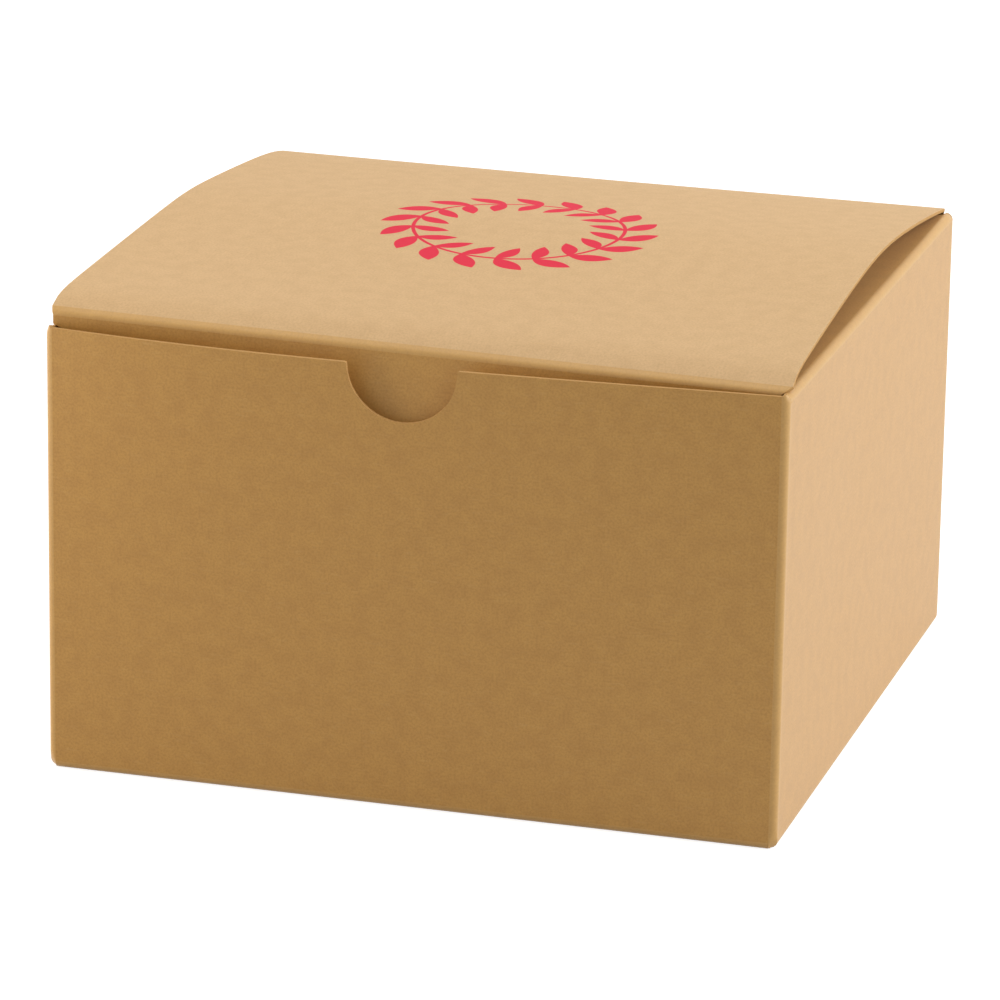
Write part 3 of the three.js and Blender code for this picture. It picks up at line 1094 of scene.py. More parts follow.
@dataclass
class Walls:
    """The four walls, with the corner folds on the side panels.

    Attributes:
        carton: the sizes that all pieces share.
        materials: the board's surfaces.
        bow: how far the front panel's free edge bows outward.
        bow_lean: how much more of the bow lies at the left.
        bow_rise: power of the height with which the bow grows.
        bow_step: distance over which the bow's slope at a corner fold is measured.
        notch_radius: radius of the thumb notch.
        notch_depth: its depth.
        notch_corner: radius of its upper corners.
        notch_middle: its middle's distance from the wall's middle.
        front_hold: share of their turn that the front corner folds make at their upper ends.
        ripple: how far the board's long faces dip inward.
        ripple_shares: parts of that dip that are the same all over, in long waves and in short ones.
        long_wave: millimetres for each radian of the long waves, across the wall and up it.
        long_start: radians at which the long waves start.
        short_wave: the same as long_wave for the short waves.
    """

    carton: Carton
    materials: Materials
    bow: float = 3.5
    bow_lean: float = 0.45
    bow_rise: float = 1.5
    bow_step: float = 0.05
    notch_radius: float = 9.45
    notch_depth: float = 9.85
    notch_corner: float = 0.4
    notch_middle: float = -0.45
    front_hold: float = 0.02
    ripple: float = 0.16
    ripple_shares: tuple[float, float, float] = (0.5, 0.3, 0.2)
    long_wave: tuple[float, float] = (19.0, 31.0)
    long_start: float = 0.6
    short_wave: tuple[float, float] = (11.0, 17.0)

    def bow_at(self, x: float, z: float) -> float:
        """Gives how far the front panel bows outward at a point."""
        box = self.carton
        share = x / box.half_along(Wall.FRONT)
        height = max(0.0, (z - box.fold_radius) / (box.wall_height - box.fold_radius))
        return self.bow * (1 - share**2) * (1 - self.bow_lean * share) * height**self.bow_rise

    def bow_angle(self, wall: Wall, z: float) -> float:
        """Gives the angle at which the bowed front panel meets the corner fold beside a side wall."""
        inner = wall.value * (self.carton.half_along(Wall.FRONT) - self.bow_step)
        return math.atan2(self.bow_at(inner, z), self.bow_step)

    def ripple_at(self, along: float, z: float, half: float) -> float:
        """Gives how far a wall's board dips inward, as board that was stored flat does.

        Args:
            along: distance from the wall's middle.
            z: height of the point.
            half: half of the wall's flat width.

        Returns:
            The dip in millimetres.
        """
        box = self.carton
        across = max(0.0, 1 - (along / half) ** 2)
        height = max(0.0, (z - box.fold_radius) / (box.wall_height - box.fold_radius))
        even, slow, quick = self.ripple_shares
        long = math.sin(along / self.long_wave[0] + z / self.long_wave[1] + self.long_start)
        short = math.sin(along / self.short_wave[0] - z / self.short_wave[1])
        return self.ripple * across * hump(height) * (even + slow * long + quick * short)

    def front(self) -> bpy.types.Object:
        """Makes the front panel with its thumb notch.

        Returns:
            The finished piece.
        """
        box = self.carton
        half = box.half_along(Wall.FRONT)
        low, top = box.fold_radius, box.wall_height
        left = self.notch_middle - self.notch_radius
        right = self.notch_middle + self.notch_radius
        blank = Blank(
            "front_panel_board",
            [
                Corner(-half, low),
                Corner(half, low),
                Corner(half, top),
                Corner(right, top, self.notch_corner),
                Corner(right, top - self.notch_depth, self.notch_radius),
                Corner(left, top - self.notch_depth, self.notch_radius),
                Corner(left, top, self.notch_corner),
                Corner(-half, top),
            ],
            joined=[Side(0, -half), Side(0, half), Side(1, low)],
            board=box.board,
        )

        def place(s: float, t: float) -> Vector:
            """Puts the bowed panel at the front."""
            out = box.out(Wall.FRONT) + self.bow_at(s, t) - self.ripple_at(s, t, half)
            return Wall.FRONT.place(s, out, t)

        return blank.fold(place, self.materials)

    def back(self) -> bpy.types.Object:
        """Makes the back panel.

        Returns:
            The finished piece.
        """
        box = self.carton
        low, high = node_box("back_panel")
        right, left = -high.x, -low.x
        blank = Blank(
            "back_panel_board",
            [Corner(right, low.z), Corner(left, low.z), Corner(left, high.z), Corner(right, high.z)],
            origin=box.origin(Wall.BACK),
            joined=[Side(0, right), Side(0, left), Side(1, low.z), Side(1, high.z)],
            board=box.board,
        )

        def place(s: float, t: float) -> Vector:
            """Puts the panel at the back."""
            out = box.out(Wall.BACK) - self.ripple_at(s, t, box.half_along(Wall.BACK))
            return Wall.BACK.place(s, out, t)

        return blank.fold(place, self.materials)

    def side(self, wall: Wall, name: str, rear_fold: bool) -> bpy.types.Object:
        """Makes a side panel with its corner folds.

        Args:
            wall: the left or the right wall.
            name: the finished piece's name.
            rear_fold: whether the rear corner fold is part of this piece too.

        Returns:
            The finished piece.
        """
        box = self.carton
        radius = box.fold_radius
        half = box.half_along(wall)
        fold = box.fold_length
        low = box.side_foot
        high = box.wall_height - radius
        tip = box.fold_tip
        front = -wall.value
        rear = wall.value

        def end(sign: int, folded: bool, at_front: bool) -> list[Corner]:
            """Lists the corners of one end, from the bottom up.

            Args:
                sign: -1 or 1 for the end of the panel that it is.
                folded: whether a corner fold is part of it.
                at_front: whether it is the front end.

            Returns:
                The corners.
            """
            if not folded:
                reach = sign * (half + radius)
                return [Corner(reach, low), Corner(reach, high)]
            edge, outer = sign * half, sign * (half + fold)
            top = box.wall_height if at_front else high + tip
            return [
                Corner(edge, low),
                Corner(edge, low - tip),
                Corner(outer, radius - tip),
                Corner(outer, top),
                Corner(edge, high + tip),
                Corner(edge, high),
            ]

        ends = {front: end(front, True, True), rear: end(rear, rear_fold, False)}
        corners = ends[1] + ends[-1][::-1]
        folds = [Fold(0, *sorted((front * half, front * (half + fold))))]
        joined = [Side(0, front * (half + fold)), Side(1, low), Side(1, high)]
        if rear_fold:
            folds.append(Fold(0, *sorted((rear * half, rear * (half + fold)))))
            joined.append(Side(0, rear * (half + fold)))
        blank = Blank(name, corners, box.origin(wall), joined, folds, box.fold_ends, box.board)

        def place(s: float, t: float) -> Vector:
            """Puts the panel at its side, with the ends of its corner folds drawn in.

            Args:
                s: place across the sheet.
                t: place along it.

            Returns:
                The point on the outside.
            """
            sign = 1 if s > 0 else -1
            over = abs(s) - half
            out = box.out(wall)
            if sign == rear and not rear_fold:
                return wall.place(s, out - self.ripple_at(s, t, half), t)
            share = min(1.0, max(0.0, over / fold))
            at_front = sign == front
            slant = self.bow_angle(wall, t) if at_front else 0.0
            first, second = box.quarter(share, 0.0, slant)
            crush = box.crush * hump(share)
            hold = lerp(1.0, self.front_hold, share) if at_front else 1.0
            kept, height = box.fold_end(t, lerp(low, radius, share) + crush, high, crush, hold)
            along = sign * (half + first * kept + min(0.0, over))
            out -= self.ripple_at(s, t, half) + radius
            return wall.place(along, out + (radius - second) * kept, height)

        return blank.fold(place, self.materials)

    def build(self) -> dict[str, bpy.types.Object]:
        """Makes the four walls.

        Returns:
            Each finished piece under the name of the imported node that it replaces.
        """
        return {
            "front_panel": self.front(),
            "back_panel": self.back(),
            "left_panel": self.side(Wall.LEFT, "left_panel_board", rear_fold=False),
            "right_panel": self.side(Wall.RIGHT, "right_panel_board", rear_fold=True),
        }


@dataclass
class Seam:
    """The glued flap inside the left wall, with the rear left corner fold.

    Attributes:
        carton: the sizes that all pieces share.
        materials: the board's surfaces.
        taper: how much the flap's free side is shorter at each end.
    """

    carton: Carton
    materials: Materials
    taper: float = 4.0

    def build(self) -> dict[str, bpy.types.Object]:
        """Makes the seam flap.

        Returns:
            The finished piece under its node's name.
        """
        box = self.carton
        low, high = node_box("seam_flap")
        radius, fold = box.fold_radius, box.fold_length
        face = low.x
        reach = fold + (high.y - low.y) - radius
        start = fold + box.board
        tip = box.fold_tip
        blank = Blank(
            "seam_flap_board",
            [
                Corner(0, radius - tip),
                Corner(fold, box.side_foot - tip),
                Corner(fold, low.z),
                Corner(start, low.z),
                Corner(reach, low.z + self.taper),
                Corner(reach, high.z - self.taper),
                Corner(start, high.z),
                Corner(fold, high.z),
                Corner(fold, high.z + tip),
                Corner(0, high.z + tip),
            ],
            origin=(box.origin(Wall.BACK)[0] - face - radius, 0.0),
            joined=[Side(0, 0.0)],
            folds=[Fold(0, 0.0, fold)],
            ends=box.fold_ends,
            board=box.board,
        )

        def place(s: float, t: float) -> Vector:
            """Follows the corner fold and then runs forward inside the left wall.

            Args:
                s: place across the sheet.
                t: place along it.

            Returns:
                The point on the outside.
            """
            share = min(1.0, max(0.0, s / fold))
            first, second = box.quarter(share)
            crush = box.crush * hump(share)
            foot = lerp(radius, box.side_foot, share) + crush
            kept, height = box.fold_end(t, foot, high.z, crush, 1.0)
            x = face + radius - first * kept - min(0.0, s)
            y = high.y - radius + (radius - second) * kept - max(0.0, s - fold)
            return Vector((x, y, height))

        return {"seam_flap": blank.fold(place, self.materials)}


@dataclass
class Bottom:
    """The self-locking bottom: two lower sheets of flap and tab, and two side flaps glued on them.

    Attributes:
        carton: the sizes that all pieces share.
        materials: the board's surfaces.
        lock_offset: distance from the box's middle at which the lower sheets change places.
        lock_lap: how far each lower sheet reaches past the middle.
        lock_gap: the gap that stays open between them.
        hook_length: how far a hook reaches over the other sheet.
        hook_ramp: length over which it climbs onto that sheet.
        hook_corner: radius of its corners.
        front_hook: both sides of the front flap's hook, from its wall's middle.
        rear_hook: the same for the back flap.
        side_taper: how much a side flap is narrower at each side of its free end.
        flap_taper: the same for a front or back flap, at its side without a tab.
        relief: width of the relief beside a bottom fold.
        relief_depth: depth of the relief of a front or back flap.
        corner_gap: gap between a side flap and its neighbour at a corner.
        tab_gap: gap between a tab and the side wall.
        tab_slant: size of a tab's slanted corner.
        diagonal_gap: width of the crease between flap and tab.
    """

    carton: Carton
    materials: Materials
    lock_offset: float = 20.0
    lock_lap: float = 6.0
    lock_gap: float = 0.5
    hook_length: float = 14.5
    hook_ramp: float = 3.0
    hook_corner: float = 2.5
    front_hook: tuple[float, float] = (-35.5, -21.5)
    rear_hook: tuple[float, float] = (-35.5, -5.5)
    side_taper: float = 12.0
    flap_taper: float = 4.0
    relief: float = 3.3
    relief_depth: float = 0.3
    corner_gap: float = 0.45
    tab_gap: float = 4.8
    tab_slant: float = 14.0
    diagonal_gap: float = 0.3

    def diagonal(self, wall: Wall, t: float) -> float:
        """Gives where the diagonal crease between flap and tab crosses a height on the sheet."""
        box = self.carton
        inward = 2 * box.fold_radius - box.fold_length - t
        return box.half_along(wall) + box.fold_radius - inward

    def t_of(self, wall: Wall, out: float, level: float) -> float:
        """Gives the height on the flat sheet of a point that is folded in under a wall."""
        box = self.carton
        return level + box.fold_radius - box.fold_length - (box.out(wall) - box.fold_radius - out)

    def flap(
        self, wall: Wall, name: str, lock_at: float, hook: tuple[float, float]
    ) -> bpy.types.Object:
        """Makes a front or back flap with its hook.

        Args:
            wall: the wall that it hangs from.
            name: the finished piece's name.
            lock_at: where its tongue begins, seen from that wall.
            hook: both sides of the hook.

        Returns:
            The finished piece.
        """
        box = self.carton
        half = box.half_along(wall)
        top = box.fold_radius
        line = self.t_of(wall, box.half_along(Wall.RIGHT), 0.0)
        slot = self.diagonal_gap * math.sqrt(0.5)
        edge = self.t_of(wall, self.lock_lap + self.lock_gap, 0.0)
        tip = self.t_of(wall, self.lock_lap + self.lock_gap - self.hook_length, 0.0)
        lap = self.t_of(wall, -self.lock_lap, 0.0)
        begin = lock_at + self.lock_gap / 2
        corners = [
            Corner(begin, lap),
            Corner(self.diagonal(wall, lap) - slot, lap),
            Corner(self.diagonal(wall, line) - slot, line),
            Corner(half, top),
            Corner(-half, top),
            Corner(-half, line),
            Corner(-half + self.relief, line - self.relief_depth),
            Corner(-half + self.flap_taper, edge),
            Corner(hook[0], edge),
            Corner(hook[0], tip, self.hook_corner),
            Corner(hook[1], tip, self.hook_corner),
            Corner(hook[1], edge),
            Corner(begin, edge),
        ]
        blank = Blank(
            name,
            corners,
            origin=box.origin(wall),
            joined=[Side(1, top)],
            folds=[Fold(1, top - box.fold_length, top)],
            board=box.board,
        )

        def place(s: float, t: float) -> Vector:
            """Lays the flap on the lowest level, with the hook climbing onto the other sheet.

            Args:
                s: place across the sheet.
                t: place along it.

            Returns:
                The point on the outside.
            """
            point = box.below(wall, s, t, 0.0)
            climb = smooth((edge + self.hook_ramp - t) / (self.hook_ramp - self.lock_gap))
            beside = max(hook[0] - s, s - hook[1], 0.0)
            point.z += box.second_layer * climb * (1 - smooth(beside / self.hook_ramp))
            return point

        return blank.fold(place, self.materials)

    def tab(self, wall: Wall, name: str) -> bpy.types.Object:
        """Makes the corner tab beyond the diagonal crease.

        Args:
            wall: the wall whose flap it belongs to.
            name: the finished piece's name.

        Returns:
            The finished piece.
        """
        box = self.carton
        side = box.half_along(wall) + box.fold_radius - self.tab_gap
        slot = self.diagonal_gap * math.sqrt(0.5)
        start = self.t_of(wall, box.out(wall) - self.tab_gap - 2 * slot, 0.0)
        lap = self.t_of(wall, -self.lock_lap, 0.0)
        corners = [
            Corner(self.diagonal(wall, lap) + slot, lap),
            Corner(side - self.tab_slant, lap),
            Corner(side, lap + self.tab_slant),
            Corner(side, start),
        ]
        blank = Blank(name, corners, origin=box.origin(wall), board=box.board)
        return blank.fold(lambda s, t: box.below(wall, s, t, 0.0), self.materials)

    def side_flap(self, wall: Wall, name: str, node: str) -> bpy.types.Object:
        """Makes a side flap, one layer up. It fills the corners that the lower sheets leave open.

        Args:
            wall: the wall that it hangs from.
            name: the finished piece's name.
            node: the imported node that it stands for.

        Returns:
            The finished piece.
        """
        box = self.carton
        low, high = node_box(node)
        half = box.half_along(wall)
        level = box.side_level
        rise = box.second_layer - level
        top = level + box.fold_radius
        line = top - box.fold_length
        end = self.t_of(wall, box.out(wall) - (high.x - low.x), level)
        corners = [
            Corner(half, top),
            Corner(-half, top),
            Corner(-half, line),
            Corner(-half + self.corner_gap, line),
            Corner(-half + self.relief, line - self.relief + self.corner_gap),
            Corner(-half + self.side_taper, end),
            Corner(half - self.side_taper, end),
            Corner(half - self.corner_gap, line - self.relief - 2 * self.corner_gap),
            Corner(half - self.corner_gap, line),
            Corner(half, line),
        ]
        blank = Blank(
            name,
            corners,
            origin=box.origin(wall),
            joined=[Side(1, top)],
            folds=[Fold(1, line, top)],
            board=box.board,
        )
        return blank.fold(lambda s, t: box.below(wall, s, t, level, rise), self.materials)

    def build(self) -> dict[str, bpy.types.Object]:
        """Makes the six pieces of the bottom.

        Returns:
            Each finished piece under its node's name.
        """
        return {
            "bottom_front_flap": self.flap(
                Wall.FRONT, "front_flap_board", -self.lock_offset, self.front_hook
            ),
            "bottom_back_flap": self.flap(
                Wall.BACK, "back_flap_board", self.lock_offset, self.rear_hook
            ),
            "bottom_front_tab": self.tab(Wall.FRONT, "front_tab_board"),
            "bottom_back_tab": self.tab(Wall.BACK, "back_tab_board"),
            "bottom_left_flap": self.side_flap(Wall.LEFT, "left_flap_board", "bottom_left_flap"),
            "bottom_right_flap": self.side_flap(Wall.RIGHT, "right_flap_board", "bottom_right_flap"),
        }


@dataclass(frozen=True)
class LidEdge:
    """How the closed lid rises along one of its side edges.

    Attributes:
        fold_lift: height of the front fold above the closed place on the dust flaps.
        ridge: rise of the two straight stretches that meet near the middle.
        knee: how much the place where they meet is rounded.
        rear_shoulder: quick rise just in front of the rear fold.
        front_shoulder: quick rise just behind the front fold.
    """

    fold_lift: float
    ridge: float
    knee: float
    rear_shoulder: float
    front_shoulder: float


@dataclass
class Lid:
    """The lid with its rear fold, its front fold and the tuck flap.

    Attributes:
        carton: the sizes that all pieces share.
        plain: the unprinted board's surfaces.
        left: how the left edge rises.
        right: how the right edge rises.
        peak: place of the ridge, as a share of the way from the rear fold to the front fold.
        rear_ease: length over which the quick rise in front of the rear fold fades out.
        front_ease: the same behind the front fold.
        rear_half: half of the lid's width at the rear fold.
        front_half: half of its width at the front fold.
        slope_step: length over which its slope at a fold is measured.
        tuck_length: depth of the tuck flap from the lid's top.
        tuck_lean: how far the middle of its free edge leans outward.
        tuck_corner: depth to which its lower corners are rounded.
        tuck_end: half of its width at its fold.
        raised_end: the same at the left, where its end stands up beside the wall.
        raised_length: how far down that end goes.
        end_slant: how much further down it slants inward.
        tuck_slant: how far down the flap has come in to its full depth's width.
        fold_inset: how much the rear fold is narrower at each side of its lower edge.
        rear_top: height of the rear fold's top.
        tuck_face: place of the tuck flap's outside.
        tuck_half: half of the tuck flap's width.
        rear: place where the lid begins in front of the rear fold.
        front: place where it ends behind the front fold.
        length: its length between them.
    """

    carton: Carton
    plain: Materials
    left: LidEdge = LidEdge(
        fold_lift=2.4, ridge=3.8, knee=0.3, rear_shoulder=2.4, front_shoulder=1.5
    )
    right: LidEdge = LidEdge(
        fold_lift=0.3, ridge=7.4, knee=0.6, rear_shoulder=0.2, front_shoulder=1.6
    )
    peak: float = 0.46
    rear_ease: float = 7.0
    front_ease: float = 2.6
    rear_half: float = 62.6
    front_half: float = 63.9
    slope_step: float = 0.1
    tuck_length: float = 16.0
    tuck_lean: float = 2.6
    tuck_corner: float = 16.0
    tuck_end: float = 62.3
    raised_end: float = 63.3
    raised_length: float = 1.5
    end_slant: float = 0.4
    tuck_slant: float = 3.0
    fold_inset: float = 0.4
    rear_top: float = field(init=False)
    tuck_face: float = field(init=False)
    tuck_half: float = field(init=False)
    rear: float = field(init=False)
    front: float = field(init=False)
    length: float = field(init=False)

    def __post_init__(self) -> None:
        """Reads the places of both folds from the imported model."""
        self.rear_top = node_box("lid_crease")[1].z
        self.tuck_face = node_box("tuck_crease")[0].y
        self.tuck_half = node_box("tuck_flap")[1].x
        self.rear = self.carton.half_depth - self.carton.fold_radius
        self.front = self.tuck_face + self.carton.fold_radius
        self.length = self.rear - self.front

    def between(self, name: str, x: float) -> float:
        """Gives one of the lid edges' sizes at a place between the left and the right edge."""
        share = 0.5 + x / (2 * self.front_half)
        return lerp(getattr(self.left, name), getattr(self.right, name), share)

    def fold_top(self, x: float) -> float:
        """Gives the height of the front fold's top."""
        return self.carton.wall_height + self.carton.board + self.between("fold_lift", x)

    def bends(self) -> Bends:
        """Lists where the lid's own folds bend, square to each of them.

        Returns:
            The lid's folds that move.
        """
        box = self.carton
        radius = box.fold_radius
        fall = (self.fold_top(-1.0) - self.fold_top(1.0)) / 2
        middle = self.fold_top(0.0)
        return {
            "lid_crease": (
                "lid",
                Vector((0, box.half_depth, self.rear_top - radius)),
                Vector((0, self.rear, self.rear_top)),
            ),
            "tuck_crease": (
                "tuck",
                Vector((0, self.front, middle)),
                Vector((-fall * radius, self.tuck_face, middle - radius)),
            ),
        }

    def height_at(self, x: float, y: float) -> float:
        """Gives the height of the lid's outside between its folds.

        Args:
            x: place across the lid.
            y: place along it.

        Returns:
            The height above the surface that the box stands on.
        """
        share = min(1.0, max(0.0, (self.rear - y) / self.length))
        rear, front = share / self.peak, (1 - share) / (1 - self.peak)
        rounding = self.between("knee", x) * hump(share)
        ridge = self.between("ridge", x) * (rear + front - math.hypot(rear - front, rounding)) / 2
        plateau = lerp(self.between("rear_shoulder", x), self.between("front_shoulder", x), share)
        from_rear = 1 - math.exp(-share * self.length / self.rear_ease)
        from_front = 1 - math.exp(-(1 - share) * self.length / self.front_ease)
        chord = lerp(self.rear_top, self.fold_top(x), share)
        return chord + ridge + plateau * from_rear * from_front

    def slope(self, x: float, y: float, step: float) -> float:
        """Gives the angle at which the lid climbs from one of its folds.

        Args:
            x: place across the lid.
            y: place of the fold.
            step: a short step from it onto the lid.

        Returns:
            The angle in radians.
        """
        return math.atan2(self.height_at(x, y + step) - self.height_at(x, y), abs(step))

    def lean(self, x: float) -> float:
        """Gives how far the tuck flap's free edge leans outward at a place across it."""
        share = min(1.0, abs(x) / self.tuck_half)
        return self.tuck_lean * (1 - share**2) ** 2

    def place(self, s: float, t: float) -> Vector:
        """Follows the rear fold, the lid, the front fold and the tuck flap.

        Args:
            s: place across the sheet, to the left seen from the front.
            t: distance from the start of the rear fold.

        Returns:
            The point on the outside.
        """
        box = self.carton
        radius, fold = box.fold_radius, box.fold_length
        x = -s
        if t < fold:
            slope = self.slope(x, self.rear, -self.slope_step)
            first, second = box.quarter(max(0.0, t) / fold, 0.0, slope)
            return Vector((x, box.half_depth - second, self.rear_top - radius + first + min(0.0, t)))
        if t < fold + self.length:
            y = self.rear - (t - fold)
            return Vector((x, y, self.height_at(x, y)))
        past = t - fold - self.length
        drop = self.tuck_length - radius
        if past < fold:
            lean = math.atan2(self.lean(x), drop)
            slope = self.slope(x, self.front, self.slope_step)
            first, second = box.quarter(past / fold, slope, lean)
            return Vector((x, self.front - first, self.fold_top(x) - second))
        hang = past - fold
        y = self.tuck_face - self.lean(x) * hang / drop
        return Vector((x, y, self.fold_top(x) - radius - hang))

    def strip(
        self,
        name: str,
        start: tuple[float, float, float],
        end: tuple[float, float, float],
        fold: bool,
    ) -> Blank:
        """Lays out one stretch of the lid's strip of sheet.

        Args:
            name: the finished piece's name.
            start: where it starts, and how far it reaches to the right and to the left there.
            end: the same for where it ends.
            fold: whether all of it is a fold.

        Returns:
            The flat piece.
        """
        return Blank(
            name,
            [
                Corner(-start[1], start[0]),
                Corner(start[2], start[0]),
                Corner(end[2], end[0]),
                Corner(-end[1], end[0]),
            ],
            origin=(self.carton.origin(Wall.BACK)[0], self.rear_top - self.carton.fold_radius),
            joined=[Side(1, start[0]), Side(1, end[0])],
            folds=[Fold(1, start[0], end[0])] if fold else [],
            board=self.carton.board,
        )

    def tuck(self, start: float) -> Blank:
        """Lays out the tuck flap.

        Args:
            start: where it starts, from the start of the rear fold.

        Returns:
            The flat piece.
        """
        end = start + self.tuck_length - self.carton.fold_radius
        half = self.tuck_half
        radius = self.tuck_corner - self.carton.fold_radius - self.tuck_slant - self.end_slant
        low = start + self.raised_length
        return Blank(
            "tuck_flap_board",
            [
                Corner(-self.tuck_end, start),
                Corner(self.raised_end, start),
                Corner(self.raised_end, low),
                Corner(self.tuck_end, low + self.end_slant),
                Corner(half, start + self.tuck_slant),
                Corner(half, end, radius),
                Corner(-half, end, radius),
                Corner(-half, start + self.tuck_slant),
            ],
            origin=(self.carton.origin(Wall.BACK)[0], self.rear_top - self.carton.fold_radius),
            joined=[Side(1, start)],
            board=self.carton.board,
        )

    def printed(self) -> Materials:
        """Makes the panel's surfaces, with the print in the middle of its outside.

        Returns:
            The surfaces.
        """
        box = self.carton
        middle = self.rear_top - box.fold_radius + box.fold_length + self.rear
        # The board under the print is the walls' board painted paler, a painted sheen for the light on the
        # lid
        wreath = WreathPrint(PaintedSheenKraftFinish(), (box.origin(Wall.BACK)[0], middle))
        return Materials(wreath.make(), self.plain.edge, self.plain.inside)

    def build(self) -> dict[str, bpy.types.Object]:
        """Makes the lid and the tuck flap with their folds.

        Returns:
            Each finished piece under its node's name.
        """
        fold = self.carton.fold_length
        front = fold + self.length
        flap = front + fold
        low = self.rear_half - self.fold_inset
        at_rear = (fold, self.rear_half, self.rear_half)
        at_front = (front, self.front_half, self.front_half)
        rear = self.strip("lid_crease_board", (0.0, low, low), at_rear, True)
        panel = self.strip("lid_panel_board", at_rear, at_front, False)
        turn = self.strip("tuck_crease_board", at_front, (flap, self.tuck_end, self.raised_end), True)
        return {
            "lid_crease": rear.fold(self.place, self.plain),
            "lid_panel": panel.fold(self.place, self.printed()),
            "tuck_crease": turn.fold(self.place, self.plain),
            "tuck_flap": self.tuck(flap).fold(self.place, self.plain),
        }


@dataclass
class DustFlaps:
    """The two dust flaps under the lid, each with its fold.

    Attributes:
        carton: the sizes that all pieces share.
        materials: the board's surfaces.
        front_taper: how much a flap is narrower at the front of its free end.
        rear_taper: the same at its rear.
        corner: radius of its free corners.
    """

    carton: Carton
    materials: Materials
    front_taper: float = 8.0
    rear_taper: float = 28.0
    corner: float = 7.0

    def flap(self, wall: Wall, side: str) -> dict[str, bpy.types.Object]:
        """Makes one dust flap and its fold.

        Args:
            wall: the wall that it is folded over from.
            side: left or right, as in the nodes' names.

        Returns:
            Both finished pieces under their nodes' names.
        """
        box = self.carton
        low, high = node_box(f"{side}_dust_flap")
        start = box.wall_height - box.fold_radius
        line = start + box.fold_length
        end = line + high.x - low.x
        half = node_box(f"{side}_dust_crease")[1].y
        turn = wall.value
        front, rear = turn * low.y, turn * high.y
        crease = Blank(
            f"{side}_dust_crease_board",
            [
                Corner(-half, start),
                Corner(half, start),
                Corner(half, line),
                Corner(-half, line),
            ],
            origin=box.origin(wall),
            joined=[Side(1, start), Side(1, line)],
            folds=[Fold(1, start, line)],
            board=box.board,
        )
        corners = [
            Corner(front, line),
            Corner(rear, line),
            Corner(rear - turn * self.rear_taper, end, self.corner),
            Corner(front + turn * self.front_taper, end, self.corner),
        ]
        flap = Blank(
            f"{side}_dust_flap_board",
            corners if turn > 0 else corners[::-1],
            origin=box.origin(wall),
            joined=[Side(1, line)],
            board=box.board,
        )

        def place(s: float, t: float) -> Vector:
            """Folds the board over the wall, level with the walls' top."""
            return box.above(wall, s, t, box.wall_height)

        return {
            f"{side}_dust_crease": crease.fold(place, self.materials),
            f"{side}_dust_flap": flap.fold(place, self.materials),
        }

    def bends(self) -> Bends:
        """Lists where the dust flaps' folds bend, square to each of them.

        Returns:
            The dust flaps' folds that move.
        """
        box = self.carton
        radius = box.fold_radius
        return {
            f"{side}_dust_crease": (
                f"{side}_dust",
                Vector((sign * box.half_width, 0, box.wall_height - radius)),
                Vector((sign * (box.half_width - radius), 0, box.wall_height)),
            )
            for side, sign in (("left", -1), ("right", 1))
        }

    def build(self) -> dict[str, bpy.types.Object]:
        """Makes both dust flaps.

        Returns:
            Each finished piece under its node's name.
        """
        return {**self.flap(Wall.LEFT, "left"), **self.flap(Wall.RIGHT, "right")}


@dataclass(frozen=True)
class Lamp:
    """A square soft lamp that points at the box.

    Attributes:
        name: its name.
        azimuth: degrees from the front, anticlockwise seen from above.
        elevation: degrees above the floor.
        level: how bright it makes a white surface that faces it.
        size: its side in metres.
        distance: its distance in metres.
        colour: its light's colour.
    """

    name: str
    azimuth: float
    elevation: float
    level: float
    size: float
    distance: float = 0.9
    colour: str = "#FFFFFF"

    def place(self, aim: Vector) -> None:
        """Puts the lamp in the scene.

        Args:
            aim: the point that it faces.
        """
        light = bpy.data.lights.new(self.name, "AREA")
        light.size = self.size
        light.energy = self.level * (math.pi * self.distance) ** 2
        light.color = linear(self.colour)[:3]
        lamp = bpy.data.objects.new(self.name, light)
        ray = direction(self.azimuth, self.elevation)
        lamp.location = aim + ray * self.distance
        lamp.rotation_euler = (-ray).to_track_quat("-Z", "Y").to_euler()
        bpy.context.scene.collection.objects.link(lamp)


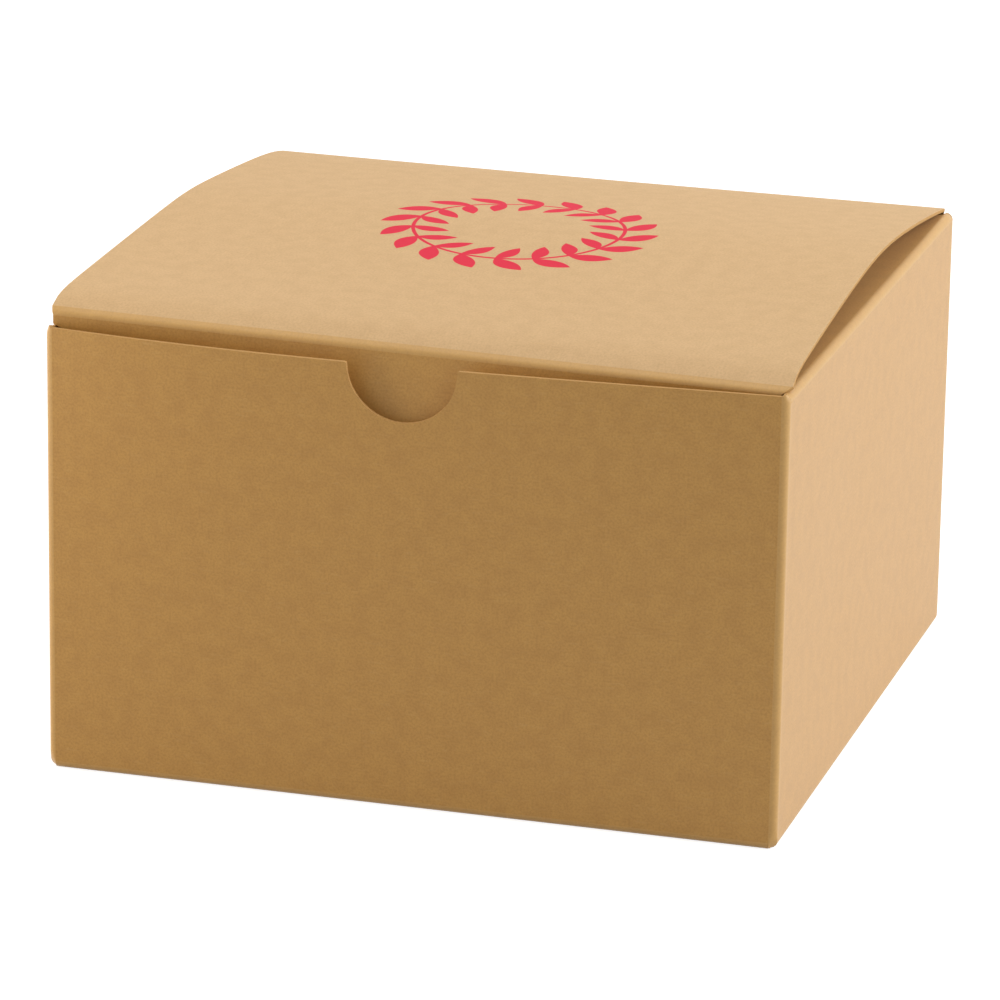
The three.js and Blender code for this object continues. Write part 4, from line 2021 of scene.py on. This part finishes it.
@dataclass
class Studio:
    """Camera, white paper under the box, a white room and plain soft light.

    Attributes:
        aim: the point that the camera and the lamps face, in millimetres.
        distance: the camera's distance from it, in millimetres.
        azimuth: the camera's degrees from the front, anticlockwise seen from above.
        elevation: its degrees above the floor.
        roll: its turn about its own axis, in degrees.
        lens: its focal length in millimetres.
        sensor: its sensor's width in millimetres.
        nearest: where it begins to see, in metres.
        furthest: where it stops to see, in metres.
        floor_half: half of the paper's width in metres.
        world_level: how bright the room makes a white surface.
        lamps: the lamps.
    """

    aim: tuple[float, float, float] = (-1.4, -4.6, 36.85)
    distance: float = 1000.0
    azimuth: float = 16.055
    elevation: float = 17.256
    roll: float = 0.886
    lens: float = 204.2
    sensor: float = 36.0
    nearest: float = 0.05
    furthest: float = 50.0
    floor_half: float = 4.0
    world_level: float = 0.5
    lamps: tuple[Lamp, ...] = (
        Lamp("key lamp", azimuth=100, elevation=24, level=0.75, size=0.7, colour="#FBFDFF"),
        Lamp(
            "left lamp", azimuth=-62, elevation=14, level=0.45, size=0.3, distance=0.34, colour="#FFF0D2"
        ),
        Lamp("rim lamp", azimuth=-100, elevation=3, level=0.42, size=0.4),
        Lamp("top lamp", azimuth=170, elevation=75, level=0.3, size=0.8, colour="#FBFDFF"),
    )

    def camera(self) -> None:
        """Makes the camera that looks at the box from the photograph's place."""
        data = bpy.data.cameras.new("camera")
        data.sensor_width = self.sensor
        data.lens = self.lens
        data.clip_start = self.nearest
        data.clip_end = self.furthest
        camera = bpy.data.objects.new("camera", data)
        back = direction(self.azimuth, self.elevation)
        camera.location = (Vector(self.aim) + back * self.distance) * MM
        camera.rotation_mode = "QUATERNION"
        level = (-back).to_track_quat("-Z", "Y")
        camera.rotation_quaternion = level @ Quaternion((0, 0, 1), math.radians(self.roll))
        bpy.context.scene.collection.objects.link(camera)
        bpy.context.scene.camera = camera

    def floor(self) -> None:
        """Makes the floor, a large level sheet of paper."""
        mesh = bmesh.new()
        bmesh.ops.create_grid(mesh, x_segments=1, y_segments=1, size=self.floor_half)
        data = bpy.data.meshes.new("floor")
        mesh.to_mesh(data)
        mesh.free()
        floor = bpy.data.objects.new("floor", data)
        bpy.context.scene.collection.objects.link(floor)
        data.materials.append(PaperFinish().make())

    def world(self) -> None:
        """Gives the room an even light, and a white that the camera and reflections see."""
        world = bpy.data.worlds.new("room")
        world.use_nodes = True
        tree = world.node_tree
        tree.nodes.clear()
        strength = add_node(
            tree,
            "ShaderNodeMapRange",
            None,
            {"Value": background_rays(tree), "To Min": self.world_level, "To Max": 1.0},
        ).outputs[0]
        shader = add_node(
            tree, "ShaderNodeBackground", None, {"Color": linear("#FFFFFF"), "Strength": strength}
        ).outputs[0]
        add_node(tree, "ShaderNodeOutputWorld", None, {"Surface": shader})
        bpy.context.scene.world = world

    def build(self) -> None:
        """Sets up the whole studio."""
        self.camera()
        self.floor()
        self.world()
        for lamp in self.lamps:
            lamp.place(Vector(self.aim) * MM)
        bpy.context.scene.view_settings.view_transform = "Standard"


class Slot(Enum):
    """The record's slots for the pieces of board."""

    PLAIN = "kraft_board"
    PRINTED = "printed_kraft"


@dataclass
class GiftBox:
    """The whole box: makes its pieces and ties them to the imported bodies.

    Attributes:
        carton: the sizes that its pieces share.
        glued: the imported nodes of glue, which keep their shape.
    """

    carton: Carton
    glued: tuple[str, ...] = ("seam_glue", "bottom_left_glue", "bottom_right_glue")

    def body_of(self, node: str) -> str:
        """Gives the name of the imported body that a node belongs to."""
        bodies = frame["record"]["behaviour"]["bodies"]
        return next(name for name, nodes in bodies.items() if node in nodes)

    def tie(self, node: str, piece: bpy.types.Object, bends: Bends) -> None:
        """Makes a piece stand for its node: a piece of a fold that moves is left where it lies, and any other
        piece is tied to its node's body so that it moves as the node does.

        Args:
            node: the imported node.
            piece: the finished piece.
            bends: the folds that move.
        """
        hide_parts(node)
        if node in bends:
            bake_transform(piece)
        else:
            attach(piece, self.body_of(node))
        log.info("%s stands for %s", piece.name, node)

    def build(self) -> None:
        """Makes every piece of the box."""
        board = KraftFinish().make()
        plain = Materials(board, CutEdgeFinish().make(), board)
        lid = Lid(self.carton, plain)
        dust_flaps = DustFlaps(self.carton, plain)
        bends = {**lid.bends(), **dust_flaps.bends()}
        makers = (
            Walls(self.carton, plain),
            Seam(self.carton, plain),
            Bottom(self.carton, plain),
            lid,
            dust_flaps,
        )
        for maker in makers:
            for node, piece in maker.build().items():
                self.tie(node, piece, bends)
        glue = GlueFinish().make()
        for node in self.glued:
            packed = frame["nodes"][node]
            packed.data.materials.clear()
            packed.data.materials.append(glue)
            log.info("%s keeps its packed shape", node)


def main() -> None:
    """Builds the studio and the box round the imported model."""
    logging.basicConfig(level=logging.INFO, format="%(name)s: %(message)s")
    Studio().build()
    GiftBox(Carton.from_frame()).build()


if __name__ == "__main__":
    main()
